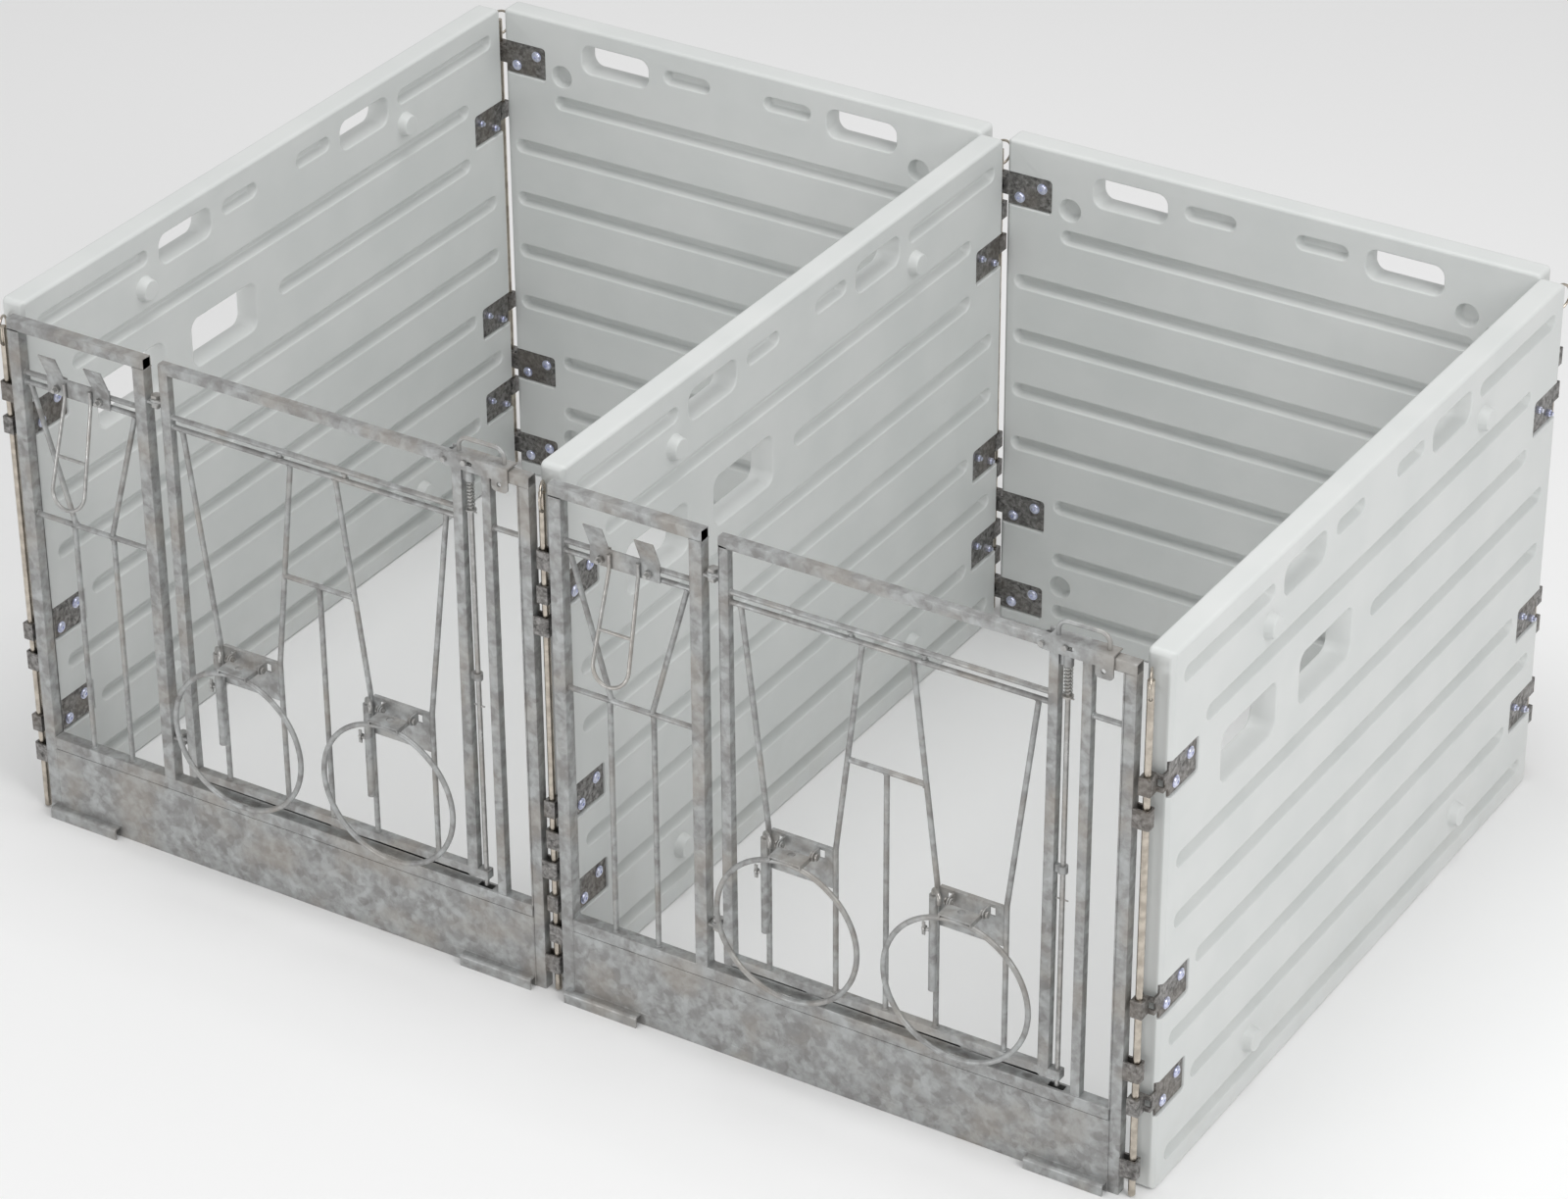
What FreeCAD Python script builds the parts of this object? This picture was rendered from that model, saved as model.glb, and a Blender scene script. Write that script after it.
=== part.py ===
import FreeCAD, Part
import math
import os
import re
from FreeCAD import Placement, Rotation, Vector

# Twin calf pen: three plastic side panels, two plastic rear panels and two galvanised front
# gates, pinned together at six corners by upright hinge rods.
# Frame: +Z up, -Y to the front (gates), origin at the middle of the middle side panel's bottom
# face. One "bay" is the pen between two side panels; a bay's own frame has x = 0 on the -X face
# of the side panel at its left, y = 0 at the side panels' front end and z = 0 on the floor.

DIMENSIONS = (
    # plastic panels
    ("panel_length", 1500), ("panel_height", 1060), ("panel_thickness", 50), ("pen_pitch", 1160),
    ("groove_height", 33), ("groove_depth", 20), ("bottom_row", 54.5), ("row_pitch", 118.4),
    ("long_row_margin", 33), ("short_row_margin", 119), ("rear_long_margin", 20),
    ("handle_width", 150), ("handle_height", 53), ("handle_radius", 18), ("window_width", 188),
    ("window_height", 90), ("window_radius", 16), ("short_slot_length", 110),
    ("top_slot_offset", 116), ("side_handle_offset", 283), ("rear_handle_offset", 285),
    ("window_near", 281), ("window_far", 565), ("top_groove_end", 357), ("window_row_start", 735),
    ("boss_diameter", 48), ("boss_height", 18), ("dimple_clearance", 3), ("boss_side_inset", 337),
    ("boss_rear_inset", 139), ("boss_low", 112), ("boss_high", 942), ("boss_draft", 12), ("edge_chamfer", 9),
    ("opening_drop", 7),
    # panel brackets, their bolts and the upright hinge rods
    ("pocket_length", 98.5), ("pocket_height", 70), ("pocket_depth", 9), ("plate_length", 95),
    ("plate_height", 65), ("plate_inset", 3), ("plate_thickness", 4), ("knuckle_height", 34),
    ("knuckle_wall", 4), ("knuckle_corner", 5), ("arm_reach", 14.5), ("arm_window_height", 14),
    ("bolt_diameter", 8), ("bolt_clearance", 0.5), ("head_diameter", 18), ("head_height", 5),
    ("nut_across_flats", 13), ("nut_height", 6.5), ("bolt_near", 28), ("bolt_far", 76),
    ("bolt_drop", 16), ("bolt_rise", 13), ("thread_beyond_nut", 5),
    ("rod_diameter", 13), ("rod_clearance", 0.5), ("rod_gap", 2.5), ("rod_inset", 22.8),
    ("rod_bottom", 4), ("rod_top", 1020), ("rod_hole_drop", 33), ("rod_hole_diameter", 7.5),
    ("pull_ring_radius", 25.5), ("pull_ring_wire", 5),
    # gate frame
    ("post_width", 25), ("rail_width", 22), ("slim_tube", 18), ("tube_wall", 2), ("gate_left", 41.5),
    ("gate_right_gap", 2.8), ("fixed_section", 306), ("gate_height", 1046.5), ("lower_rail", 147.5),
    ("inner_post_gap", 59), ("bar_diameter", 10), ("upper_rod", 940.5), ("rod_spacing", 19),
    ("kick_sheet", 2), ("foot_length", 152), ("foot_height", 23), ("foot_depth", 17),
    ("foot_wall", 4), ("foot_inset", 12), ("foot_outer_bend", 6.4), ("foot_inner_bend", 2.4),
    ("gate_knuckle_height", 36),
    ("fixed_cross_rod", 649), ("fixed_v_spread", 118), ("fixed_v_foot", 41), ("fixed_bar_offset", 44.5),
    # door
    ("door_gap", 31), ("door_bottom", 190), ("door_drop", 1), ("door_end_gap", 43),
    ("opening_offset", 165.5), ("bar_half_gap", 66.5), ("v_half_top", 117.5), ("v_foot", 498.6),
    ("door_cross_rod", 687), ("v_bend", 40), ("stub_diameter", 8), ("bolt_end", 4),
    ("hinge_bolt", 10), ("hinge_clearance", 0.1),
    ("lug_thickness", 5), ("lug_gap", 0.3), ("lug_radius", 11), ("lug_neck_half", 8.8), ("hinge_low", 259),
    ("hinge_high", 960), ("hinge_head_height", 6.5), ("hinge_head_flats", 17),
    # latch
    ("pivot_diameter", 9.8), ("pivot_clearance", 0.1), ("pivot_from_end", 28), ("cheek_gap", 24),
    ("pivot_tail", 5), ("pivot_head", 14.7), ("pivot_head_height", 4),
    ("cheek_sheet", 3), ("saddle_drop", 11), ("saddle_rise", 16), ("saddle_reach", 130),
    ("rear_cheek_reach", 62), ("saddle_nose", 10), ("ear_width", 33), ("ear_drop", 20.5),
    ("lock_hole", 9), ("lock_hole_inset", 18), ("loop_wire", 8), ("loop_width", 93),
    ("loop_rise", 28), ("loop_bend", 18), ("ear_corner", 8), ("loop_from_pivot", 22),
    ("latch_rod", 9), ("latch_rod_gap", 14),
    ("latch_clearance", 0.1), ("latch_rod_foot", 1.5), ("cross_bolt", 6), ("cross_bolt_rise", 4.5),
    ("cross_bolt_flats", 10), ("cross_bolt_head", 4), ("cross_bolt_tail", 3), ("spring_end_gap", 0.2),
    ("slot_play", 1), ("slot_before", 6), ("slot_after", 16), ("guide_diameter", 17),
    ("guide_height", 22), ("guide_top_gap", 2.5), ("middle_guide", 603), ("middle_guide_height", 14),
    ("spring_top_drop", 55), ("spring_diameter", 13), ("spring_wire", 2), ("spring_coils", 8),
    ("collar_diameter", 19), ("collar_height", 4), ("pin_diameter", 3), ("pin_length", 22),
    ("lower_pin", 550), ("rail_slot_length", 31), ("rail_slot_width", 14),
    # bucket rings and their keepers
    ("ring_outer", 289), ("ring_bar", 10), ("ring_forward", 52.5), ("hanger_sheet", 3),
    ("bucket_plate_bottom", 418), ("bucket_plate_height", 78), ("bucket_flange", 8.5),
    ("ring_pivot_forward", 17), ("ring_pivot_height", 483), ("ring_pin", 8),
    ("ring_pin_clearance", 0.1), ("ring_pin_inside", 2), ("ring_pin_outside", 3),
    ("ring_pin_head", 12.8), ("ring_pin_head_height", 3), ("hanger_skirt", 6), ("hanger_drop", 1),
    ("hanger_width", 63), ("hanger_ear_gap", 1), ("ear_radius", 9), ("web_front", 6), ("web_hole", 14),
    ("ear_window_width", 10), ("ear_window_height", 16), ("ear_window_drop", 2),
    ("keeper_tube", 15), ("keeper_rod", 8), ("keeper_clearance", 0.1), ("keeper_bottom", 291),
    ("keeper_tube_length", 193), ("keeper_arm_height", 498), ("keeper_arm_x", 22.5),
    ("keeper_arm_y", 20), ("keeper_tip", 15), ("keeper_bend", 9), ("keeper_foot", 9),
    ("screw_height", 410), ("screw_diameter", 6), ("screw_length", 14), ("wing_span", 26),
    ("screw_bite", 0.1),
    # bottle holder
    ("holder_left", 122), ("holder_width", 140), ("holder_height", 36), ("holder_sheet", 3),
    ("holder_bottom", 918), ("hook_width", 38), ("hook_rise", 48), ("hook_lean", 20),
    ("clamp_width", 24), ("clamp_inset", 22), ("clamp_bolt_tip", 14), ("cradle_wire", 7),
    ("cradle_top_half", 29), ("cradle_low_half", 37.5), ("cradle_bend_z", 918),
    ("cradle_bottom", 724), ("cradle_lean", 55), ("cradle_bend", 34.9), ("cradle_cross_z", 815),
    ("cradle_cross_wire", 6),
)

doc = FreeCAD.newDocument("calf_pen")
sheet = doc.addObject("Spreadsheet::Sheet", "dims")
for line, (alias, number) in enumerate(DIMENSIONS, start=1):
    sheet.set("A%d" % line, alias)
    sheet.set("B%d" % line, str(number))
    sheet.setAlias("B%d" % line, alias)
doc.recompute()
ALIASES = frozenset(alias for alias, _ in DIMENSIONS)
NODES = []


class Sizes:
    """The sheet's cells as numbers, for shapes that code works out."""

    def __getattr__(self, alias):
        return float(sheet.get(alias))


d = Sizes()


def bound(expression):
    """A FreeCAD expression in which each plain alias reads its sheet cell."""
    return re.sub(r"[a-z][a-z_]+", lambda word: "dims." + word.group() if word.group() in ALIASES
                  else word.group(), expression)


def node(shape_object, label, place=None):
    """Marks a document object as one sub-part, which is written to its own file."""
    shape_object.Label = label
    if place is not None:
        shape_object.Placement = place
    NODES.append(shape_object)
    return shape_object


def solid_node(label, solids, place=None):
    """A sub-part that is a group of one or more separate worked-out solids."""
    feature = doc.addObject("Part::Feature", label)
    feature.Shape = Part.makeCompound(solids)
    return node(feature, label, place)


# ---------------------------------------------------------------- document helpers

def block(name, size, corner=("0", "0", "0")):
    """A box whose sizes and corner are expressions of the sheet."""
    item = doc.addObject("Part::Box", name)
    for prop, text in zip(("Length", "Width", "Height"), size):
        item.setExpression(prop, bound(text))
    for axis, text in zip("xyz", corner):
        item.setExpression("Placement.Base." + axis, bound(text))
    return item


def round_bar(name, diameter, length, start, axis="z"):
    """A cylinder along x, y or z whose sizes and start are expressions of the sheet."""
    item = doc.addObject("Part::Cylinder", name)
    turns = {"x": Rotation(Vector(0, 1, 0), 90), "y": Rotation(Vector(1, 0, 0), -90),
             "z": Rotation()}
    item.Placement = Placement(Vector(), turns[axis])
    item.setExpression("Radius", bound("(%s) / 2" % diameter))
    item.setExpression("Height", bound(length))
    for letter, text in zip("xyz", start):
        item.setExpression("Placement.Base." + letter, bound(text))
    return item


def cut(name, base, *tools):
    """The base with each tool taken away in turn."""
    for number, tool in enumerate(tools):
        step = doc.addObject("Part::Cut", "%s_cut%d" % (name, number))
        step.Base, step.Tool = base, tool
        base = step
    return base


def fuse(name, *items):
    """One solid made of several touching or crossing ones."""
    item = doc.addObject("Part::MultiFuse", name)
    item.Shapes = list(items)
    item.Refine = True
    return item


def shape_of(item):
    """The recomputed shape of a document object."""
    doc.recompute()
    return item.Shape.copy()


def only_solid(shape):
    """The single solid inside a boolean's result."""
    return shape.Solids[0]


def trimmed(solids, keep_out=()):
    """The solids with each one cut back from those before it and from keep_out."""
    done = []
    for solid in solids:
        for other in list(keep_out) + done:
            if solid.BoundBox.intersect(other.BoundBox):
                solid = max(solid.cut(other).Solids, key=lambda part: part.Volume)
        done.append(solid)
    return done


def bent_bar(points, diameter, bend):
    """A round bar along straight runs joined by tangent arcs of one bend radius."""
    points = [Vector(*point) for point in points]
    edges, start = [], points[0]
    for before, corner, after in zip(points, points[1:], points[2:]):
        into = (corner - before).normalize()
        out = (after - corner).normalize()
        half_turn = into.getAngle(out) / 2
        setback = bend * math.tan(half_turn)
        enter, leave = corner - into * setback, corner + out * setback
        middle = corner + (out - into).normalize() * bend * (1 / math.cos(half_turn) - 1)
        if (enter - start).Length > 1e-6:
            edges.append(Part.LineSegment(start, enter).toShape())
        edges.append(Part.Arc(enter, middle, leave).toShape())
        start = leave
    edges.append(Part.LineSegment(start, points[-1]).toShape())
    path = Part.Wire(edges)
    direction = (points[1] - points[0]).normalize()
    section = Part.Wire(Part.makeCircle(diameter / 2, points[0], direction))
    return path.makePipeShell([section], True, False)


def straight_bar(start, end, diameter):
    """A straight round bar between two points."""
    start, end = Vector(*start), Vector(*end)
    return Part.makeCylinder(diameter / 2, (end - start).Length, start, end - start)


def hexagon(across_flats, height, start, direction):
    """A hexagonal nut or bolt head without its hole."""
    radius = across_flats / math.sqrt(3)
    corners = [Vector(radius * math.cos(math.radians(60 * i)), radius * math.sin(math.radians(60 * i)), 0)
               for i in range(7)]
    solid = Part.Face(Part.makePolygon(corners)).extrude(Vector(0, 0, height))
    solid.Placement = Placement(Vector(*start), Rotation(Vector(0, 0, 1), Vector(*direction)))
    return solid


# ---------------------------------------------------------------- placements

def bay_place(bay):
    """Where a bay's own frame lies: bay 0 is the left pen, bay 1 the right one."""
    return Placement(Vector(-d.panel_thickness / 2 + (bay - 1) * d.pen_pitch, -d.panel_length / 2, 0),
                     Rotation())


ROD_SETBACK = d.panel_thickness / 2 + d.rod_gap
REAR_LENGTH = d.pen_pitch - 2 * ROD_SETBACK
REAR_ROD_X = d.panel_thickness - d.rod_inset
REAR_ROD_Y = d.panel_length + ROD_SETBACK


def rear_place(bay):
    """Where a rear panel's own frame lies: its length runs along +X and its +x face looks forward."""
    corner = Vector(REAR_ROD_X + ROD_SETBACK, REAR_ROD_Y + d.panel_thickness / 2, 0)
    return bay_place(bay).multiply(Placement(corner, Rotation(Vector(0, 0, 1), -90)))


def turned_end(length):
    """From a panel's first end to its far end, turned half round about the upright axis."""
    return Placement(Vector(d.panel_thickness, length, 0), Rotation(Vector(0, 0, 1), 180))


SIDE_BRACKETS = (823.0, 388.0, 189.0)
REAR_LEFT_BRACKETS = (957.0, 258.0, 60.0)
REAR_RIGHT_BRACKETS = (893.0, 326.0, 126.0)
BAYS = (0, 1)
SIDE_NAMES = ("left", "middle", "right")
BAY_NAMES = ("left", "right")


# ---------------------------------------------------------------- plastic panels

def origin_plane(body, role):
    """One of a body's own origin planes."""
    return next(plane for plane in body.Origin.OriginFeatures if plane.Role == role)


def face_sketch(body, name, offset):
    """A sketch parallel to the panel's faces, at a height given by an expression."""
    sketch = body.newObject("Sketcher::SketchObject", name)
    sketch.AttachmentSupport = [(origin_plane(body, "YZ_Plane"), "")]
    sketch.MapMode = "FlatFace"
    sketch.setExpression("AttachmentOffset.Base.z", bound(offset))
    return sketch


def add_rounded(sketch, left, right, low, high, radius):
    """A rectangle with round corners; full semicircle ends when radius is half the height."""
    quarter = math.pi / 2
    corners = ((right - radius, low + radius, 3), (right - radius, high - radius, 0),
               (left + radius, high - radius, 1), (left + radius, low + radius, 2))
    for centre_y, centre_z, turn in corners:
        circle = Part.Circle(Vector(centre_y, centre_z, 0), Vector(0, 0, 1), radius)
        sketch.addGeometry(Part.ArcOfCircle(circle, turn * quarter, (turn + 1) * quarter))
    runs = (((left + radius, low), (right - radius, low)), ((right, low + radius), (right, high - radius)),
            ((right - radius, high), (left + radius, high)), ((left, high - radius), (left, low + radius)))
    for (y_start, z_start), (y_end, z_end) in runs:
        if math.hypot(y_end - y_start, z_end - z_start) > 1e-3:
            sketch.addGeometry(Part.LineSegment(Vector(y_start, z_start, 0), Vector(y_end, z_end, 0)))


def add_groove(sketch, start, end, height):
    """A groove outline with semicircular ends, its row centre at the given height."""
    half = d.groove_height / 2
    add_rounded(sketch, start, end, height - half, height + half, half)


def pocket(body, sketch, name, depth, reverse=False):
    """A pocket whose depth is an expression of the sheet; it must take material away."""
    before = body.Shape.Volume
    feature = body.newObject("PartDesign::Pocket", name)
    feature.Profile = sketch
    feature.Reversed = reverse
    feature.setExpression("Length", bound(depth))
    doc.recompute()
    if body.Shape.Volume >= before:
        raise ValueError("%s cuts nothing from %s" % (name, body.Label))
    return feature


def row_height(row):
    """Height of a groove row's centre, counted from the lowest."""
    return d.bottom_row + row * d.row_pitch


def grooves_of(kind, length):
    """Start, end and height of each groove of a side or a rear panel."""
    top, middle = row_height(8), length / 2
    half_slot = d.short_slot_length / 2
    centres = (middle - d.top_slot_offset, middle + d.top_slot_offset)
    slots = [(centre - half_slot, centre + half_slot, top) for centre in centres]
    if kind == "side":
        long_rows, short_rows, margin = (0, 2, 4, 5), (1, 3, 7), d.long_row_margin
        slots += [(margin, d.top_groove_end, top), (length - d.top_groove_end, length - margin, top),
                  (d.window_row_start, length - d.short_row_margin, row_height(6))]
    else:
        long_rows, short_rows, margin = (3, 4, 5, 6), (0, 1, 2, 7), d.rear_long_margin
    slots += [(margin, length - margin, row_height(row)) for row in long_rows]
    slots += [(d.short_row_margin, length - d.short_row_margin, row_height(row)) for row in short_rows]
    return slots


def panel(label, kind, near_brackets, far_brackets, place):
    """A plastic panel: grooved on both faces, with hand holes, nesting bosses and bracket pockets."""
    body = doc.addObject("PartDesign::Body", label)
    length = d.panel_length if kind == "side" else REAR_LENGTH
    slab = face_sketch(body, label + "_outline", "0")
    corners = [Vector(0, 0, 0), Vector(length, 0, 0), Vector(length, d.panel_height, 0),
               Vector(0, d.panel_height, 0)]
    for start, end in zip(corners, corners[1:] + corners[:1]):
        slab.addGeometry(Part.LineSegment(start, end))
    pad = body.newObject("PartDesign::Pad", label + "_slab")
    pad.Profile = slab
    pad.setExpression("Length", bound("panel_thickness"))
    doc.recompute()

    corner_edges = ["Edge%d" % number for number, edge in enumerate(pad.Shape.Edges, start=1)
                    if edge.BoundBox.ZLength > length / 3 and edge.BoundBox.YLength < 1
                    and (edge.BoundBox.YMin > length / 2) != (edge.BoundBox.XMin > d.panel_thickness / 2)]
    chamfer = body.newObject("PartDesign::Chamfer", label + "_corners")
    chamfer.Base = (pad, corner_edges)
    chamfer.setExpression("Size", bound("edge_chamfer"))
    doc.recompute()

    for side, offset, reverse in (("front", "panel_thickness", False), ("back", "0", True)):
        grooves = face_sketch(body, "%s_grooves_%s" % (label, side), offset)
        for start, end, height in grooves_of(kind, length):
            add_groove(grooves, start, end, height)
        pocket(body, grooves, "%s_%s_rows" % (label, side), "groove_depth", reverse)
        pockets = face_sketch(body, "%s_pockets_%s" % (label, side), offset)
        for heights, start, end in ((near_brackets, -1, d.pocket_length),
                                    (far_brackets, length - d.pocket_length, length + 1)):
            for height in heights:
                low = height - d.pocket_height / 2
                ring = [Vector(start, low, 0), Vector(end, low, 0), Vector(end, low + d.pocket_height, 0),
                        Vector(start, low + d.pocket_height, 0)]
                for begin, finish in zip(ring, ring[1:] + ring[:1]):
                    pockets.addGeometry(Part.LineSegment(begin, finish))
        pocket(body, pockets, "%s_%s_bracket_pockets" % (label, side), "pocket_depth", reverse)

    holes = face_sketch(body, label + "_openings", "panel_thickness + 1")
    middle, top = length / 2, row_height(8) - d.opening_drop
    handle = d.side_handle_offset if kind == "side" else d.rear_handle_offset
    cuts = [(middle + side * handle, top, d.handle_width, d.handle_height, d.handle_radius)
            for side in (-1, 1)]
    if kind == "side":
        cuts += [(start, row_height(6), d.window_width, d.window_height, d.window_radius)
                 for start in (d.window_near, d.window_far)]
    for centre, height, wide, tall, radius in cuts:
        add_rounded(holes, centre - wide / 2, centre + wide / 2, height - tall / 2, height + tall / 2, radius)
    for start, turn, heights in ((0, 1, near_brackets), (length, -1, far_brackets)):
        for height in heights:
            for along, rise in ((d.bolt_near, -d.bolt_drop), (d.bolt_far, d.bolt_rise)):
                centre = Vector(start + turn * along, height + rise, 0)
                hole_radius = d.bolt_diameter / 2 + d.bolt_clearance
                holes.addGeometry(Part.Circle(centre, Vector(0, 0, 1), hole_radius))
    pocket(body, holes, label + "_holes", "panel_thickness + 2")

    inset = d.boss_side_inset if kind == "side" else d.boss_rear_inset
    boss_spots = [(along, height) for along in (inset, length - inset)
                  for height in (d.boss_low, d.boss_high)]
    boss_face, dimple_face = ("panel_thickness", "0") if kind == "side" else ("0", "panel_thickness")
    dimples = face_sketch(body, label + "_dimple_outlines", dimple_face)
    bosses = face_sketch(body, label + "_boss_outlines", boss_face)
    for along, height in boss_spots:
        centre = Vector(along, height, 0)
        dimple_radius = d.boss_diameter / 2 + d.dimple_clearance
        dimples.addGeometry(Part.Circle(centre, Vector(0, 0, 1), dimple_radius))
        bosses.addGeometry(Part.Circle(centre, Vector(0, 0, 1), d.boss_diameter / 2))
    pocket(body, dimples, label + "_dimples", "boss_height + dimple_clearance", kind == "side")
    boss = body.newObject("PartDesign::Pad", label + "_bosses")
    boss.Profile = bosses
    boss.Reversed = kind != "side"
    boss.setExpression("Length", bound("boss_height"))
    boss.TaperAngle = -d.boss_draft
    body.Tip = boss
    doc.recompute()
    return node(body, label, place)


def build_panels():
    """Three side panels and two rear panels."""
    for number, name in enumerate(SIDE_NAMES):
        panel("side_panel_" + name, "side", SIDE_BRACKETS, SIDE_BRACKETS, bay_place(number))
    for bay in BAYS:
        panel("rear_panel_" + BAY_NAMES[bay], "rear", REAR_LEFT_BRACKETS, REAR_RIGHT_BRACKETS,
              rear_place(bay))


# ---------------------------------------------------------------- panel brackets and hinge rods

def bracket(name, rod_x):
    """A plate with two bolt holes whose arm wraps the panel's end and ends in a rod knuckle."""
    low_plate, low_arm = "-plate_height / 2", "-knuckle_height / 2"
    plate_x = "panel_thickness - pocket_depth"
    outer = "rod_diameter / 2 + rod_clearance + knuckle_wall"
    setback = "panel_thickness / 2 + rod_gap"
    plate = block(name + "_plate", ("plate_thickness", "plate_length", "plate_height"),
                  (plate_x, "plate_inset", low_plate))
    arm = block(name + "_arm", ("plate_thickness", "arm_reach + plate_inset", "knuckle_height"),
                (plate_x, "-arm_reach", low_arm))
    neck = block(name + "_neck", (plate_x + " + plate_thickness - " + rod_x, "plate_thickness",
                                  "knuckle_height"), (rod_x, "-arm_reach", low_arm))
    barrel_length = outer + " + " + setback + " - arm_reach + plate_thickness"
    barrel = block(name + "_barrel", ("2 * (%s)" % outer, barrel_length, "knuckle_height"),
                   (rod_x + " - (%s)" % outer, "-(%s) - (%s)" % (setback, outer), low_arm))
    window = block(name + "_window", ("panel_thickness / 4", "2 * plate_thickness", "arm_window_height"),
                   (plate_x + " + plate_thickness - panel_thickness / 4", "-arm_reach - plate_thickness / 2",
                    "-arm_window_height / 2"))
    bore = round_bar(name + "_bore", "rod_diameter + 2 * rod_clearance", "knuckle_height + 2",
                     (rod_x, "-(%s)" % setback, low_arm + " - 1"))
    holes = [round_bar("%s_hole%d" % (name, i), "bolt_diameter + bolt_clearance", "plate_thickness + 2",
                       (plate_x + " - 1", along, rise), "x")
             for i, (along, rise) in enumerate((("bolt_near", "-bolt_drop"), ("bolt_far", "bolt_rise")))]
    return cut(name, fuse(name + "_body", plate, arm, neck, barrel), window, bore, *holes)


def backing_plate():
    """The plain plate under the two nuts, on the other face of the panel."""
    plate = block("backing", ("plate_thickness", "plate_length", "plate_height"),
                  ("pocket_depth - plate_thickness", "plate_inset", "-plate_height / 2"))
    holes = [round_bar("backing_hole%d" % i, "bolt_diameter + bolt_clearance", "plate_thickness + 2",
                       ("pocket_depth - plate_thickness - 1", along, rise), "x")
             for i, (along, rise) in enumerate((("bolt_near", "-bolt_drop"), ("bolt_far", "bolt_rise")))]
    return cut("backing_plate", plate, *holes)


def panel_bolt():
    """A button-head bolt through bracket, panel and backing plate, head on the bracket."""
    seat = "panel_thickness - pocket_depth + plate_thickness"
    shank_start = "pocket_depth - plate_thickness - nut_height - thread_beyond_nut"
    shank = round_bar("bolt_shank", "bolt_diameter", "%s - (%s)" % (seat, shank_start),
                      (shank_start, "0", "0"), "x")
    head = doc.addObject("Part::Cone", "bolt_head")
    head.Placement = Placement(Vector(), Rotation(Vector(0, 1, 0), 90))
    head.setExpression("Placement.Base.x", bound(seat))
    head.setExpression("Radius1", bound("head_diameter / 2"))
    head.setExpression("Radius2", bound("head_diameter / 4"))
    head.setExpression("Height", bound("head_height"))
    return fuse("panel_bolt", shank, head)


def panel_nut():
    """The hexagon nut on a panel bolt."""
    start = d.pocket_depth - d.plate_thickness - d.nut_height
    nut = hexagon(d.nut_across_flats, d.nut_height, (start, 0, 0), (1, 0, 0))
    bore = Part.makeCylinder(d.bolt_diameter / 2 + d.bolt_clearance / 10, d.nut_height + 2,
                             Vector(start - 1, 0, 0), Vector(1, 0, 0))
    return only_solid(nut.cut(bore))


def bracket_spots():
    """Placement of each panel bracket, as (side panels, rear panels)."""
    side, rear = [], []
    for number in range(len(SIDE_NAMES)):
        for end in (Placement(), turned_end(d.panel_length)):
            side += [bay_place(number).multiply(end).multiply(Placement(Vector(0, 0, z), Rotation()))
                     for z in SIDE_BRACKETS]
    for bay in BAYS:
        for end, heights in ((Placement(), REAR_LEFT_BRACKETS),
                             (turned_end(REAR_LENGTH), REAR_RIGHT_BRACKETS)):
            rear += [rear_place(bay).multiply(end).multiply(Placement(Vector(0, 0, z), Rotation()))
                     for z in heights]
    return side, rear


def copies(shape, places):
    """One copy of the shape at each placement."""
    result = []
    for place in places:
        item = shape.copy()
        item.Placement = place.multiply(item.Placement)
        result.append(item)
    return result


def build_brackets():
    """Brackets, backing plates, bolts and nuts of all five panels."""
    side, rear = bracket_spots()
    side_bracket = only_solid(shape_of(bracket("side_bracket", "rod_inset")))
    rear_bracket = only_solid(shape_of(bracket("rear_bracket", "panel_thickness / 2")))
    solid_node("side_panel_brackets", copies(side_bracket, side))
    solid_node("rear_panel_brackets", copies(rear_bracket, rear))
    solid_node("backing_plates", copies(only_solid(shape_of(backing_plate())), side + rear))
    bolt, nut = only_solid(shape_of(panel_bolt())), panel_nut()
    seats = [place.multiply(Placement(Vector(0, along, rise), Rotation())) for place in side + rear
             for along, rise in ((d.bolt_near, -d.bolt_drop), (d.bolt_far, d.bolt_rise))]
    solid_node("panel_bolts", copies(bolt, seats))
    solid_node("panel_nuts", copies(nut, seats))


RING_TURN = 25


def build_hinge_rods():
    """Six upright rods, each with a pull ring through its top."""
    rod = round_bar("rod", "rod_diameter", "rod_top - rod_bottom", ("0", "0", "rod_bottom"))
    hole = round_bar("rod_hole", "rod_hole_diameter", "2 * rod_diameter",
                     ("0", "-rod_diameter", "rod_top - rod_hole_drop"), "y")
    drilled = only_solid(shape_of(cut("drilled_rod", rod, hole)))
    ring = Part.makeTorus(d.pull_ring_radius, d.pull_ring_wire / 2,
                          Vector(0, 0, d.rod_top - d.rod_hole_drop + d.pull_ring_radius), Vector(1, 0, 0))
    for number, name in enumerate(SIDE_NAMES):
        for end, x, y, turn in (("front", d.rod_inset, -ROD_SETBACK, RING_TURN),
                                ("rear", REAR_ROD_X, REAR_ROD_Y, -RING_TURN)):
            spot = bay_place(number).multiply(Placement(Vector(x, y, 0), Rotation(Vector(0, 0, 1), turn)))
            solid_node("hinge_rod_%s_%s" % (end, name), copies(drilled, [spot]) + copies(ring, [spot]))


# ---------------------------------------------------------------- gate frame (in a bay's own frame)

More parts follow.
